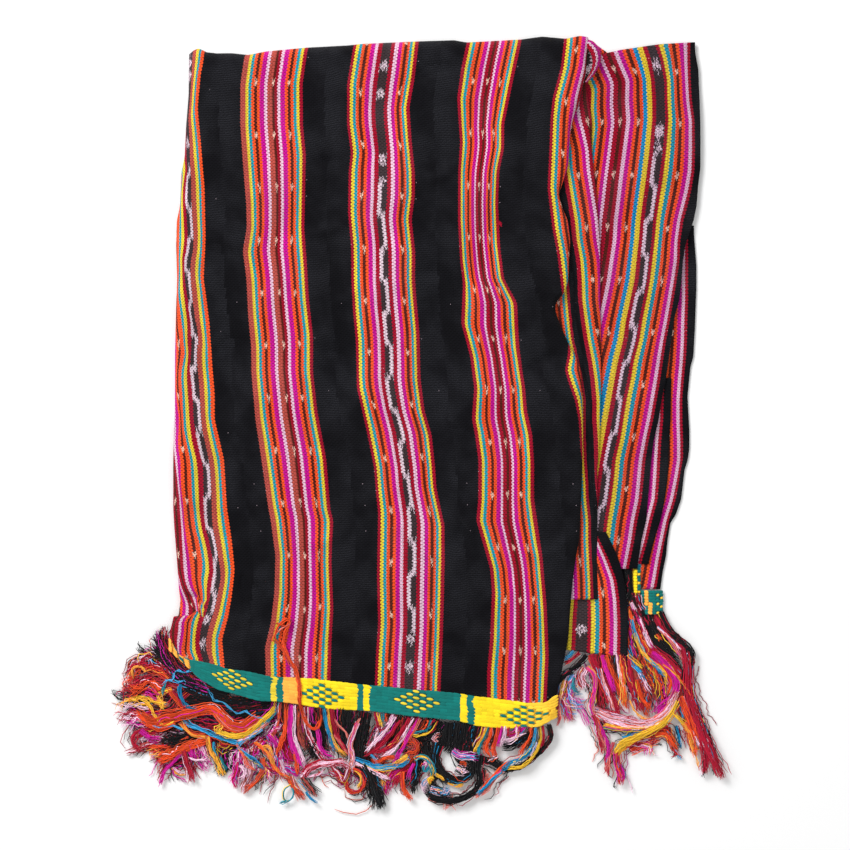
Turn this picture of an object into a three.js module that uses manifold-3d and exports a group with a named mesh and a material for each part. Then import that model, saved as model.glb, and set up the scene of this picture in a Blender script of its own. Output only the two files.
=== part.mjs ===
// A handwoven wrap cloth, folded and laid flat, with a twined end band and a long warp fringe.
// Millimetres, +Z up. The cloth lies on the plane z = 0, its warp runs along Y, its fringe points to -Y.
// The origin is on the flat underside, near the middle of the folded cloth.
import * as THREE from "three";
import { mergeVertices } from "three/addons/utils/BufferGeometryUtils.js";
import Module from "manifold-3d";

const wasm = await Module();
wasm.setup();

// ---------- driving dimensions ----------
const WALL = 1.6; // cloth, one layer
const GAP = 0.3; // air between two pieces that touch
const CORE_CLEARANCE = 0.98; // air between a rolled wall and the hidden layers in it
const HEM_LOW = 6.8; // where the outermost layer of a fold turns under, above the floor
const ROLL_RUN = 15; // how far a folded edge takes to round down
const RIGHT_ROLL_RUN = 11; // the same on the top layer's right side, which lies on other layers
const RIGHT_ROLL_SHARE = 0.42; // how much of the height it loses there
const BACKING_DEPTH = 6; // the strip that holds a fringe, along the warp
const BACKING_WALL = 2.6;
const BACKING_CLEARANCE = 0.9; // between the backing and the edge that it follows
const LOCK_RADIUS = 2.2; // a lock of fringe yarn at its thickest
const LOCK_SIDES = 3;
const LOCK_STEPS = 3;
const LOCK_PROFILE = [0.5, 1, 0.95, 0.35]; // radius at each step from root to tip, as a share
const LOCK_REST = LOCK_RADIUS * 0.5 + 0.7; // height of its middle line where it lies on the floor
const LOCK_FALL = 2.6; // it is down to its level after 1 / this of its length
const LOCK_BEND = { x: -0.22, y: -0.1 }; // how far its middle hangs back, as a share of its sway
const LOCK_INSET = 2; // from the end of a backing to its first lock
const ROOT_INSET = 1.6; // how far a root reaches into the backing
const BACKING_RISE = 0.4; // the backing's top above the cloth's edge

// ---------- outlines and heights, a row for each section ----------
// The top layer's two sides, from the fold (large y) to the fringed end.
const FRONT_SIDES = [
  { y: 480, left: -285, right: 266 },
  { y: 425, left: -286, right: 251 },
  { y: 370, left: -289, right: 231 },
  { y: 310, left: -296, right: 224 },
  { y: 268, left: -297, right: 217 },
  { y: 245, left: -302, right: 228 },
  { y: 220, left: -302, right: 230 },
  { y: 160, left: -301, right: 227 },
  { y: 127, left: -302, right: 209 },
  { y: 98, left: -303, right: 216 },
  { y: 65, left: -304, right: 231 },
  { y: 28, left: -304, right: 244 },
  { y: -30, left: -305, right: 247 },
  { y: -125, left: -306, right: 246 },
  { y: -190, left: -304, right: 242 },
  { y: -240, left: -300, right: 234 },
  { y: -286, left: -296, right: 230 },
  { y: -302, left: -306, right: 229 },
  { y: -325, left: -313, right: 226 },
  { y: -400, left: -313, right: 211 },
  { y: -450, left: -313, right: 204 },
];
// The fold at the head and the two edges of the end band, from left to right.
const HEAD = [
  { x: -320, y: 467 },
  { x: -285, y: 467 },
  { x: -274, y: 474 },
  { x: -262, y: 468 },
  { x: -227, y: 468 },
  { x: -126, y: 476 },
  { x: 26, y: 485 },
  { x: 90, y: 483 },
  { x: 192, y: 491 },
  { x: 224, y: 488 },
  { x: 245, y: 492 },
  { x: 266, y: 474 },
  { x: 351, y: 481 },
  { x: 406, y: 485 },
];
const BAND_TOP = [
  { x: -313, y: -320 },
  { x: -297, y: -343 },
  { x: -254, y: -355 },
  { x: -155, y: -373 },
  { x: -39, y: -384 },
  { x: 73, y: -395 },
  { x: 174, y: -408 },
  { x: 212, y: -399 },
];
const BAND_FOOT = [
  { x: -313, y: -336 },
  { x: -290, y: -366 },
  { x: -246, y: -390 },
  { x: -190, y: -402 },
  { x: -104, y: -414 },
  { x: 8, y: -424 },
  { x: 142, y: -441 },
  { x: 190, y: -440 },
  { x: 212, y: -430 },
];
// Where the top surface of each layer lies, down the length of the cloth.
const HEIGHTS = [
  { y: 490, front: 25, inner: 13.6, back: 8 },
  { y: 300, front: 24, inner: 13.6, back: 8 },
  { y: 0, front: 21.5, inner: 12.6, back: 7.4 },
  { y: -150, front: 19.5, inner: 10.8, back: 6.3 },
  { y: -340, front: 15.5, inner: 10.6, back: 6.1 },
  { y: -450, front: 12, inner: 10.6, back: 6.1 },
];
// The second layer beside the top layer: its right side is the valley between it and the back panel.
const VALLEY = [
  { y: 480, x: 262 },
  { y: 270, x: 263 },
  { y: 216, x: 267 },
  { y: 80, x: 271 },
  { y: 0, x: 272 },
  { y: -70, x: 270 },
  { y: -135, x: 267 },
  { y: -275, x: 267 },
];
// The right side: the back panel's edge, the edge of the strip under it, and the outermost selvedge.
const RIGHT_SIDES = [
  { y: 490, back: 397, strip: 380, selvedge: 397 },
  { y: 471, back: 399, strip: 380, selvedge: 399 },
  { y: 406, back: 405, strip: 380, selvedge: 405 },
  { y: 313, back: 406, strip: 380, selvedge: 406 },
  { y: 252, back: 398, strip: 380, selvedge: 398 },
  { y: 216, back: 389, strip: 378, selvedge: 398 },
  { y: 151, back: 380, strip: 374, selvedge: 401 },
  { y: 97, back: 371, strip: 370, selvedge: 399 },
  { y: 45, back: 360, strip: 369, selvedge: 393 },
  { y: 5, back: 352, strip: 367, selvedge: 389 },
  { y: -65, back: 343, strip: 359, selvedge: 391 },
  { y: -94, back: 338, strip: 355, selvedge: 385 },
  { y: -134, back: 334, strip: 352, selvedge: 382 },
  { y: -163, back: 331, strip: 348, selvedge: 366 },
  { y: -211, back: 322, strip: 339, selvedge: 360 },
  { y: -260, back: 316, strip: 332, selvedge: 352 },
];
// The lower flap, which lies on the back panel.
const FLAP_SIDES = [
  { y: -180, left: 222, right: 268 },
  { y: -246, left: 223, right: 297 },
  { y: -300, left: 224, right: 304 },
  { y: -350, left: 225, right: 309 },
];
const FLAP_FOOT = [
  { x: 220, y: -337 },
  { x: 254, y: -342 },
  { x: 310, y: -348 },
];
const FLAP_HEAD = -186;
const FLAP_TOP = 8.4;
const INNER_HEAD = 462; // the second layer's fold, under the top layer's
const SELVEDGE_HEAD = 236; // where the outermost strip comes out from under the back panel
const BACK_HEAD = [
  { x: 240, y: 455 },
  { x: 262, y: 462 },
  { x: 275, y: 468 },
  { x: 297, y: 473 },
  { x: 351, y: 481 },
  { x: 399, y: 485 },
];
// The fringes, from left to right: where each is rooted, how many locks it has, and where their tips lie.
const FRINGES = [
  {
    name: "fringe_front_left",
    edge: "band",
    from: -300,
    to: -152,
    locks: 44,
    tips: [
      { x: -322, y: -318 },
      { x: -344, y: -338 },
      { x: -366, y: -372 },
      { x: -382, y: -400 },
      { x: -380, y: -438 },
      { x: -352, y: -474 },
      { x: -306, y: -534 },
      { x: -250, y: -520 },
      { x: -200, y: -528 },
      { x: -158, y: -540 },
    ],
  },
  {
    name: "fringe_front_middle",
    edge: "band",
    from: -144,
    to: 34,
    locks: 42,
    tips: [
      { x: -150, y: -540 },
      { x: -122, y: -536 },
      { x: -68, y: -524 },
      { x: -34, y: -552 },
      { x: 0, y: -530 },
      { x: 34, y: -520 },
    ],
  },
  {
    name: "fringe_front_right",
    edge: "band",
    from: 42,
    to: 205,
    locks: 34,
    tips: [
      { x: 42, y: -528 },
      { x: 70, y: -540 },
      { x: 118, y: -528 },
      { x: 160, y: -500 },
      { x: 196, y: -474 },
      { x: 208, y: -452 },
    ],
  },
  {
    name: "fringe_flap",
    edge: "flap",
    from: 229,
    to: 305,
    locks: 24,
    tips: [
      { x: 218, y: -446 },
      { x: 248, y: -446 },
      { x: 270, y: -462 },
      { x: 284, y: -514 },
      { x: 304, y: -525 },
      { x: 322, y: -486 },
    ],
  },
  {
    name: "fringe_back",
    edge: "back",
    from: 318,
    to: 355,
    locks: 18,
    tips: [
      { x: 338, y: -476 },
      { x: 366, y: -468 },
      { x: 392, y: -478 },
      { x: 420, y: -506 },
      { x: 436, y: -504 },
      { x: 412, y: -440 },
      { x: 396, y: -364 },
    ],
  },
];
// A loose bundle of warp yarn on top of the cloth, which crosses the band.
const BUNDLE = [
  { y: -293, x: -159, width: 6 },
  { y: -324, x: -149, width: 9 },
  { y: -371, x: -139, width: 8 },
  { y: -405, x: -131, width: 9 },
  { y: -438, x: -122, width: 7 },
];
// Troughs (negative rise) and ridges of the top layer, each along a line from x0, y0 to x1, y1.
const FRONT_CREASES = [
  { x0: 112, y0: 330, x1: 118, y1: 170, width: 19, rise: -3 },
  { x0: 118, y0: 180, x1: 150, y1: 90, width: 20, rise: 2 },
  { x0: 172, y0: 440, x1: 150, y1: 160, width: 34, rise: 2.4 },
  { x0: -150, y0: 470, x1: -142, y1: -140, width: 24, rise: -2.2 },
  { x0: -30, y0: 200, x1: 30, y1: -160, width: 22, rise: -2 },
  { x0: 58, y0: 480, x1: 50, y1: -20, width: 26, rise: 2.2 },
  { x0: -245, y0: 420, x1: -215, y1: -230, width: 26, rise: 2 },
  { x0: 205, y0: 60, x1: 215, y1: -250, width: 18, rise: 2.4 },
  { x0: -262, y0: -220, x1: -205, y1: -330, width: 24, rise: 2 },
  { x0: 80, y0: -130, x1: 120, y1: -330, width: 22, rise: 2 },
];

// ---------- small helpers ----------
// The value of `column` at `key` in a table sorted by `by`, straight between rows.
function lookUp(table, by, key, column) {
  const rising = table[table.length - 1][by] > table[0][by];
  const rows = rising ? table : [...table].reverse();
  if (key <= rows[0][by]) return rows[0][column];
  for (let i = 1; i < rows.length; i += 1) {
    const [a, b] = [rows[i - 1], rows[i]];
    if (key <= b[by]) return a[column] + ((b[column] - a[column]) * (key - a[by])) / (b[by] - a[by]);
  }
  return rows[rows.length - 1][column];
}
const mix = (a, b, t) => a + (b - a) * t;
// A quarter round: 0 at the edge, 1 once `run` away from it.
const quarter = (d, run) => Math.sqrt(1 - (1 - Math.min(Math.max(d / run, 0), 1)) ** 2);
// What is left of a height after an edge that rounds down by `share` of it.
const rolled = (d, run, share) => 1 - share * (1 - quarter(d, run));

function creaseRise(table, x, y) {
  return table.reduce((sum, c) => {
    const [dx, dy] = [c.x1 - c.x0, c.y1 - c.y0];
    const along = ((x - c.x0) * dx + (y - c.y0) * dy) / (dx * dx + dy * dy);
    const t = Math.min(Math.max(along, 0), 1);
    const away = Math.hypot(x - c.x0 - t * dx, y - c.y0 - t * dy);
    const fade = Math.sin(Math.PI * Math.min(Math.max(along, 0), 1));
    return sum + c.rise * fade * Math.exp(-((away / c.width) ** 2));
  }, 0);
}

// ---------- the layers' top surfaces, as heights over the plan ----------
function frontHeight(x, y) {
  const top = lookUp(HEIGHTS, "y", y, "front") + creaseRise(FRONT_CREASES, x, y);
  const left = x - lookUp(FRONT_SIDES, "y", y, "left");
  const right = lookUp(FRONT_SIDES, "y", y, "right") - x;
  const head = lookUp(HEAD, "x", x, "y") - y;
  const sideRound = rolled(left, ROLL_RUN, 1) * rolled(right, RIGHT_ROLL_RUN, RIGHT_ROLL_SHARE);
  return HEM_LOW + (top - HEM_LOW) * sideRound * rolled(head, ROLL_RUN, 1);
}
const INNER_ROLL = { run: 12, share: 0.9 }; // the second layer's fold along the valley
const INNER_HEAD_ROLL = { run: 8, share: 0.5 };
const FLAP_APPROACH = 70; // above the flap's head, where the second layer is down to it
function innerHeight(x, y) {
  const top = lookUp(HEIGHTS, "y", y, "inner");
  const right = lookUp(VALLEY, "y", y, "x") - x;
  const low = (y < FLAP_HEAD + FLAP_APPROACH ? FLAP_TOP : lookUp(HEIGHTS, "y", y, "back")) + WALL;
  const headRound = rolled(INNER_HEAD - y, INNER_HEAD_ROLL.run, INNER_HEAD_ROLL.share);
  return low + (top - low) * rolled(right, INNER_ROLL.run, INNER_ROLL.share) * headRound;
}
const BACK_DROOP = { free: 2.2, held: 0.3, run: 60 }; // its right side, above and beside the outer strip
const BACK_HEAD_DROOP = { drop: 1.6, run: 6 };
function backHeight(x, y) {
  const top = lookUp(HEIGHTS, "y", y, "back");
  const right = lookUp(RIGHT_SIDES, "y", y, "back") - x;
  const droop = y > SELVEDGE_HEAD ? BACK_DROOP.free : BACK_DROOP.held;
  const head = lookUp(BACK_HEAD, "x", x, "y") - y;
  const headDrop = BACK_HEAD_DROOP.drop * (1 - quarter(head, BACK_HEAD_DROOP.run));
  return top - droop * (1 - quarter(right, BACK_DROOP.run)) - headDrop;
}
const FLAP_FALL = { from: -236, run: 100, low: 6.4 }; // it sinks towards its fringe
const flapHeight = (x, y) =>
  mix(FLAP_TOP, FLAP_FALL.low, Math.min(Math.max((FLAP_FALL.from - y) / FLAP_FALL.run, 0), 1));

// ---------- solids ----------
function solidFrom(positions, triangles) {
  const geometry = new THREE.BufferGeometry();
  geometry.setAttribute("position", new THREE.Float32BufferAttribute(positions, 3));
  geometry.setIndex(triangles);
  return mergeVertices(geometry, 1e-4);
}

// A grid of points moved in, away from the face that they lie on, by `depth`.
function movedIn(grid, depth) {
  const [rows, columns] = [grid.length, grid[0].length];
  const at = (i, j) => grid[Math.min(Math.max(i, 0), rows - 1)][Math.min(Math.max(j, 0), columns - 1)];
  return grid.map((row, i) =>
    row.map((point, j) => {
      const across = at(i, j + 1).clone().sub(at(i, j - 1));
      const along = at(i + 1, j).clone().sub(at(i - 1, j));
      const normal = along.cross(across).normalize();
      return point.clone().addScaledVector(normal, -depth);
    }),
  );
}
// A closed wall from a grid of points on its outer face.
function wallFrom(grid, wall = WALL) {
  const [rows, columns] = [grid.length, grid[0].length];
  const inner = movedIn(grid, wall);
  const positions = [...grid.flat(), ...inner.flat()].flatMap((p) => [p.x, p.y, p.z]);
  const half = rows * columns;
  const triangles = [];
  const quad = (a, b, c, d) => triangles.push(a, b, c, a, c, d);
  for (let i = 0; i < rows - 1; i += 1) {
    for (let j = 0; j < columns - 1; j += 1) {
      const [a, b] = [i * columns + j, (i + 1) * columns + j];
      const [c, d] = [b + 1, a + 1];
      quad(a, b, c, d);
      quad(half + d, half + c, half + b, half + a);
    }
  }
  const rim = [];
  for (let j = 0; j < columns - 1; j += 1) rim.push(j);
  for (let i = 0; i < rows - 1; i += 1) rim.push(i * columns + columns - 1);
  for (let j = columns - 1; j > 0; j -= 1) rim.push((rows - 1) * columns + j);
  for (let i = rows - 1; i > 0; i -= 1) rim.push(i * columns);
  rim.forEach((a, k) => {
    const b = rim[(k + 1) % rim.length];
    quad(a, b, half + b, half + a);
  });
  return solidFrom(positions, triangles);
}

// A closed slab under chains of points, which each run from the floor on the left over the top to the floor
// on the right. Its two ends close in fans about a point on the floor, below the chain's own points.
function slabFrom(chains, middleX) {
  const rings = chains.map((chain) => {
    const share = (middleX - chain[0].x) / (chain[chain.length - 1].x - chain[0].x);
    const floor = chain[0].clone().lerp(chain[chain.length - 1], share);
    return [...chain, floor];
  });
  const round = rings[0].length;
  const positions = rings.flat().flatMap((p) => [p.x, p.y, p.z]);
  const triangles = [];
  for (let i = 0; i < rings.length - 1; i += 1) {
    for (let j = 0; j < round; j += 1) {
      const k = (j + 1) % round;
      const [a, b, c, d] = [i * round + j, i * round + k, (i + 1) * round + k, (i + 1) * round + j];
      triangles.push(a, c, b, a, d, c);
    }
  }
  const last = (rings.length - 1) * round;
  for (let j = 0; j < round - 2; j += 1) {
    triangles.push(round - 1, j, j + 1);
    triangles.push(last + round - 1, last + j + 1, last + j);
  }
  return solidFrom(positions, triangles);
}

// ---------- plan grids ----------
// Shares from 0 to 1 that crowd together over a rounded edge `run` long at either end of `length`.
function shares(length, middleSteps, runAtStart, runAtEnd, roundSteps = 4) {
  const list = [];
  const round = (k) => 1 - Math.cos((k / roundSteps) * (Math.PI / 2));
  if (runAtStart) for (let k = 0; k < roundSteps; k += 1) list.push((round(k) * runAtStart) / length);
  const [from, to] = [runAtStart / length, 1 - runAtEnd / length];
  for (let k = 0; k <= middleSteps; k += 1) list.push(mix(from, to, k / middleSteps));
  if (runAtEnd) for (let k = roundSteps - 1; k >= 0; k -= 1) list.push(1 - (round(k) * runAtEnd) / length);
  return list;
}
// Points of a layer: `across` and `along` are shares, the sides, head and foot are functions of y and x.
function planGrid({ across, along, left, right, head, foot, height }) {
  return along.map((v) =>
    across.map((u) => {
      let [x, y] = [mix(left(0), right(0), u), 0];
      for (let pass = 0; pass < 8; pass += 1) {
        y = mix(head(x), foot(x), v);
        x = mix(left(y), right(y), u);
      }
      return new THREE.Vector3(x, y, height(x, y));
    }),
  );
}

// ---------- the top layer, its twined band and the layers beside it ----------
const headOf = (x) => lookUp(HEAD, "x", x, "y");
const FRONT = { width: 545, length: 880 }; // nominal, to share out the grid
const frontPlan = {
  across: shares(FRONT.width, 17, ROLL_RUN, RIGHT_ROLL_RUN),
  along: shares(FRONT.length, 20, ROLL_RUN, 0),
  left: (y) => lookUp(FRONT_SIDES, "y", y, "left"),
  right: (y) => lookUp(FRONT_SIDES, "y", y, "right"),
  head: (x) => lookUp(HEAD, "x", x, "y"),
  foot: (x) => lookUp(BAND_FOOT, "x", x, "y"),
  height: frontHeight,
};
const frontGrid = planGrid(frontPlan);
const frontPanel = wallFrom(frontGrid);

// The band is made from the top layer's own surface, moved out.
const bandPlan = {
  ...frontPlan,
  along: [0, 0.33, 0.67, 1],
  head: (x) => lookUp(BAND_TOP, "x", x, "y"),
  height: (x, y) => frontHeight(x, y) + WALL + 1.5 * GAP,
};
const bandInset = 2; // from the top layer's sides
bandPlan.left = (y) => frontPlan.left(y) + bandInset;
bandPlan.right = (y) => frontPlan.right(y) - bandInset;
const frontBand = wallFrom(planGrid(bandPlan));

// Nominal widths and lengths of the other stretches, and where they end.
const INNER = { width: 60, length: 735, foot: -269 };
const BACK = { width: 140, length: 710, foot: -228 };
const FLAP = { width: 80, length: 150 };
const STRIP = { width: 30, length: 250, head: 30, foot: -222 };
const SELVEDGE = { width: 50, length: 460, foot: -256 };

const innerHidden = 16; // how far the second layer reaches in under the top layer
const innerLayer = wallFrom(
  planGrid({
    across: shares(INNER.width, 3, 0, INNER_ROLL.run),
    along: shares(INNER.length, 12, INNER_HEAD_ROLL.run, 0, 2),
    left: (y) => frontPlan.right(y) - innerHidden,
    right: (y) => lookUp(VALLEY, "y", y, "x"),
    head: () => INNER_HEAD,
    foot: () => INNER.foot,
    height: innerHeight,
  }),
);

const backHidden = 12; // how far the back panel reaches in under the second layer
const backLeft = (y) => lookUp(VALLEY, "y", y, "x") - backHidden;
const backRight = (y) => lookUp(RIGHT_SIDES, "y", y, "back");
const backPanel = wallFrom(
  planGrid({
    across: shares(BACK.width, 5, 0, 14, 3),
    along: shares(BACK.length, 13, BACK_HEAD_DROOP.run, 0, 2),
    left: backLeft,
    right: backRight,
    head: (x) => lookUp(BACK_HEAD, "x", x, "y"),
    foot: () => BACK.foot,
    height: backHeight,
  }),
);

const lowerFlap = wallFrom(
  planGrid({
    across: shares(FLAP.width, 4, 0, 0),
    along: shares(FLAP.length, 6, 0, 0),
    left: (y) => lookUp(FLAP_SIDES, "y", y, "left"),
    right: (y) => lookUp(FLAP_SIDES, "y", y, "right"),
    head: () => FLAP_HEAD,
    foot: (x) => lookUp(FLAP_FOOT, "x", x, "y"),
    height: flapHeight,
  }),
);

// Two more strips of the cloth's right side, showing past the back panel.
const stripHidden = 12; // how far they reach in under it
const STRIP_TOP = 4; // top surface of the strip under the back panel
const SELVEDGE_TOP = 2; // top surface of the outermost strip, on the floor
const stripLayer = wallFrom(
  planGrid({
    across: shares(STRIP.width, 3, 0, 0),
    along: shares(STRIP.length, 7, 0, 0),
    left: (y) => lookUp(RIGHT_SIDES, "y", y, "back") - stripHidden,
    right: (y) => lookUp(RIGHT_SIDES, "y", y, "strip"),
    head: () => STRIP.head,
    foot: () => STRIP.foot,
    height: () => STRIP_TOP,
  }),
);
const stripOf = (y) => lookUp(RIGHT_SIDES, "y", y, "strip");
const selvedgeLayer = wallFrom(
  planGrid({
    across: shares(SELVEDGE.width, 4, 0, 0),
    along: shares(SELVEDGE.length, 12, 0, 0),
    left: (y) => Math.min(backRight(y), stripOf(y)) - stripHidden,
    right: (y) => lookUp(RIGHT_SIDES, "y", y, "selvedge"),
    head: () => SELVEDGE_HEAD,
    foot: () => SELVEDGE.foot,
    height: () => SELVEDGE_TOP,
  }),
);

// ---------- the hidden layers: one rounded solid, grooved between its layers at the edges ----------
const CORE_EDGE = [
  { out: -0.8, z: 0 },
  { out: 0, z: 1 },
  { out: -1.4, z: 2.2 },
  { out: 0, z: 3.4 },
  { out: -1.4, z: 4.6 },
  { out: -0.6, z: 5.2 },
];
const CORE_FOOT = [
  { x: 206, y: -392 },
  { x: 224, y: -322 },
  { x: 298, y: -320 },
  { x: 306, y: -226 },
  { x: 406, y: -226 },
];
const coreFootOf = (x) => lookUp(CORE_FOOT, "x", x, "y");
const CORE_ROW_STEP = 1.2; // between two chains, where both would start at the back panel's fold
const CORE_SIDE_POINTS = CORE_EDGE.length;
const CORE_LEFT_OUT = 6; // points of the top layer's grid, at its right side, that the core doesn't follow
const CORE_STEP_IN = 6; // from the second layer's hidden edge to the step down to it
const CORE_FLAP_APPROACH = 46; // above the flap's head, where the core is down below the flap
const CORE_BACK_LEAST = 3.8; // least height below the back panel
const CORE_VALLEY_STEP = { far: 4, near: 2 }; // from the back panel's hidden edge
const CORE_RIGHT_INSET = 5; // from the right side to the last point below the back panel
const CORE_RIGHT_TOP = 2.9; // height of the right side
const CORE_RIGHT_LEAN = 0.2; // each point of the right side out from the one above it
const CORE_RIGHT_CLEARANCE = { selvedge: 0.6, strips: 3 };
const CORE_STEP_SPREAD = 0.25; // between the side points of a step at the head
const CORE_MIDDLE = 50; // x of the point where its head and foot close
const coreDepth = WALL + CORE_CLEARANCE; // below the top surface of the layer that it carries
const coreRows = frontGrid.length - 1;
const coreTop = movedIn(frontGrid, coreDepth);
const innerEdgeOf = (y) => lookUp(VALLEY, "y", y, "x");
// The right side of the hidden layers: under the selvedge high up, left of the two strips lower down.
function coreRight(y) {
  const clearance = CORE_RIGHT_CLEARANCE;
  if (y > SELVEDGE_HEAD + 4) return backRight(y) - clearance.selvedge;
  return Math.min(backRight(y), stripOf(y)) - stripHidden - clearance.strips;
}
function coreChain(i) {
  const outer = frontGrid[i];
  const edge = outer[outer.length - 1];
  const share = Math.min((headOf(edge.x) - edge.y) / (headOf(edge.x) - coreFootOf(edge.x)), 1);
  const backHead = (x) => lookUp(BACK_HEAD, "x", x, "y") - coreDepth - CORE_ROW_STEP * i;
  const yAt = (x) => Math.min(mix(headOf(x), coreFootOf(x), share), backHead(x));
  const point = (x, z) => new THREE.Vector3(x, yAt(x), z);
  const leftY = Math.min(outer[0].y, headOf(outer[0].x) - coreDepth);
  const chain = CORE_EDGE.map(({ out, z }) => new THREE.Vector3(outer[0].x - out, leftY, z));
  const stepAt = edge.x - innerHidden - CORE_STEP_IN;
  chain.push(...coreTop[i].slice(0, outer.length - CORE_LEFT_OUT));
  chain[chain.length - 1].x = Math.min(chain[chain.length - 1].x, stepAt);
  const valley = innerEdgeOf(yAt(edge.x));
  const underInner = Math.min(innerHeight(stepAt, yAt(stepAt)) - coreDepth, chain[chain.length - 1].z);
  const underFlap = flapHeight(stepAt, yAt(stepAt)) - coreDepth;
  const shelf = yAt(stepAt) < FLAP_HEAD + CORE_FLAP_APPROACH ? Math.min(underInner, underFlap) : underInner;
  chain.push(point(stepAt + 1, shelf));
  const right = coreRight(yAt(valley));
  const backFloor = (x) => Math.max(backHeight(x, yAt(x)) - coreDepth, CORE_BACK_LEAST);
  chain.push(point(valley - backHidden - CORE_VALLEY_STEP.far, Math.min(shelf, backFloor(valley))));
  for (let k = 0; k <= 3; k += 1) {
    const x = mix(valley - backHidden - CORE_VALLEY_STEP.near, right - CORE_RIGHT_INSET, k / 3);
    chain.push(point(x, backFloor(x) - 0.1));
  }
  [...CORE_EDGE].reverse().forEach(({ out, z }, k) => {
    const lean = CORE_RIGHT_LEAN * (CORE_SIDE_POINTS - 1 - k);
    chain.push(point(right + out - lean, Math.min(z, CORE_RIGHT_TOP)));
  });
  return chain;
}
// The head of the hidden layers steps down in three layers, under the fold of the top layer.
const CORE_STEPS = [
  { back: 0.4, top: 1.8 },
  { back: 1, top: 1.9 },
  { back: 1.2, top: 3.6 },
  { back: 1.7, top: 3.7 },
  { back: 1.9, top: 5.2 },
];
function coreStep(chain, { back, top }) {
  const last = chain.length - 1;
  return chain.map((p, j) => {
    let x = p.x;
    if (j < CORE_SIDE_POINTS) x = chain[0].x + CORE_STEP_SPREAD * j;
    if (last - j < CORE_SIDE_POINTS) x = chain[last].x - CORE_STEP_SPREAD * (last - j);
    return new THREE.Vector3(x, p.y + coreDepth - back, Math.min(p.z, top));
  });
}
const coreChains = frontGrid.slice(0, coreRows).map((row, i) => coreChain(i));
const coreHead = CORE_STEPS.map((step) => coreStep(coreChains[0], step));
const hiddenLayers = slabFrom([...coreHead, ...coreChains], CORE_MIDDLE);

// ---------- fringes ----------
const BACK_FRINGE_TOP = 4.6; // top surface of the back end, where its fringe starts
// The edge of cloth that a fringe comes out of, and the top surface there.
const FRINGE_EDGES = {
  band: { y: (x) => lookUp(BAND_FOOT, "x", x, "y"), z: (x, y) => frontHeight(x, y) },
  flap: { y: (x) => lookUp(FLAP_FOOT, "x", x, "y"), z: (x, y) => flapHeight(x, y) },
  back: { y: () => BACK_BAND.foot, z: () => BACK_FRINGE_TOP },
};
// A lock: a prism that is thin at its root and tip and lies down on the floor.
function lockFrom({ root, tip, bend, level }) {
  const middle = root.clone().lerp(tip, 0.5).add(bend);
  const plan = new THREE.QuadraticBezierCurve3(root, middle, tip);
  const positions = [];
  for (let i = 0; i <= LOCK_STEPS; i += 1) {
    const t = i / LOCK_STEPS;
    const centre = plan.getPoint(t);
    const tangent = plan.getTangent(t);
    const side = new THREE.Vector3(tangent.y, -tangent.x, 0).normalize();
    centre.z = Math.max(mix(root.z, mix(level, LOCK_REST, t), Math.min(t * LOCK_FALL, 1)), LOCK_REST);
    const radius = LOCK_RADIUS * LOCK_PROFILE[i];
    for (let k = 0; k < LOCK_SIDES; k += 1) {
      const angle = Math.PI / 2 + (2 * Math.PI * k) / LOCK_SIDES;
      const point = centre.clone().addScaledVector(side, Math.cos(angle) * radius);
      positions.push(point.x, point.y, point.z + Math.sin(angle) * radius);
    }
  }
  const triangles = [];
  for (let i = 0; i < LOCK_STEPS; i += 1) {
    for (let k = 0; k < LOCK_SIDES; k += 1) {
      const next = (k + 1) % LOCK_SIDES;
      const [a, b] = [i * LOCK_SIDES + k, i * LOCK_SIDES + next];
      triangles.push(a, b + LOCK_SIDES, b, a, a + LOCK_SIDES, b + LOCK_SIDES);
    }
  }
  const end = LOCK_STEPS * LOCK_SIDES;
  triangles.push(0, 1, 2, end, end + 2, end + 1);
  return solidFrom(positions, triangles);
}
function manifoldFrom(geometry) {
  return new wasm.Manifold(
    new wasm.Mesh({
      numProp: 3,
      vertProperties: geometry.attributes.position.array,
      triVerts: new Uint32Array(geometry.index.array),
    }),
  );
}
function pointAlong(points, share) {
  const place = Math.min(share, 0.99999) * (points.length - 1);
  const [a, b] = [points[Math.floor(place)], points[Math.floor(place) + 1]];
  return new THREE.Vector3(mix(a.x, b.x, place % 1), mix(a.y, b.y, place % 1), 0);
}
const LOCK_LENGTHS = [1, 0.84, 0.94, 0.76]; // of the way to the outline of the tips
const LOCK_LEVELS = [2, 5.2, 8.4];
function fringeFrom({ edge, from, to, locks, tips }) {
  const { y: edgeY, z: edgeZ } = FRINGE_EDGES[edge];
  const backing = planGrid({
    across: shares(1, 10, 0, 0),
    along: [0, 1],
    left: () => from,
    right: () => to,
    head: (x) => edgeY(x) - BACKING_CLEARANCE,
    foot: (x) => edgeY(x) - BACKING_DEPTH,
    height: (x) => edgeZ(x, edgeY(x)) + BACKING_RISE,
  });
  let solid = manifoldFrom(wallFrom(backing, BACKING_WALL));
  for (let k = 0; k < locks; k += 1) {
    const share = (k + 0.5) / locks;
    const x = mix(from + LOCK_INSET, to - LOCK_INSET, share);
    const rootZ = edgeZ(x, edgeY(x)) - BACKING_WALL / 2 + BACKING_RISE;
    const root = new THREE.Vector3(x, edgeY(x) - BACKING_DEPTH + ROOT_INSET, rootZ);
    const tip = root.clone().lerp(pointAlong(tips, share).setZ(0), LOCK_LENGTHS[k % LOCK_LENGTHS.length]);
    const sway = tip.x - root.x;
    const bend = new THREE.Vector3(LOCK_BEND.x * sway, LOCK_BEND.y * Math.abs(sway), 0);
    solid = solid.add(manifoldFrom(lockFrom({ root, tip, bend, level: LOCK_LEVELS[k % LOCK_LEVELS.length] })));
  }
  const made = solid.getMesh();
  return solidFrom(made.vertProperties, Array.from(made.triVerts));
}

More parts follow.
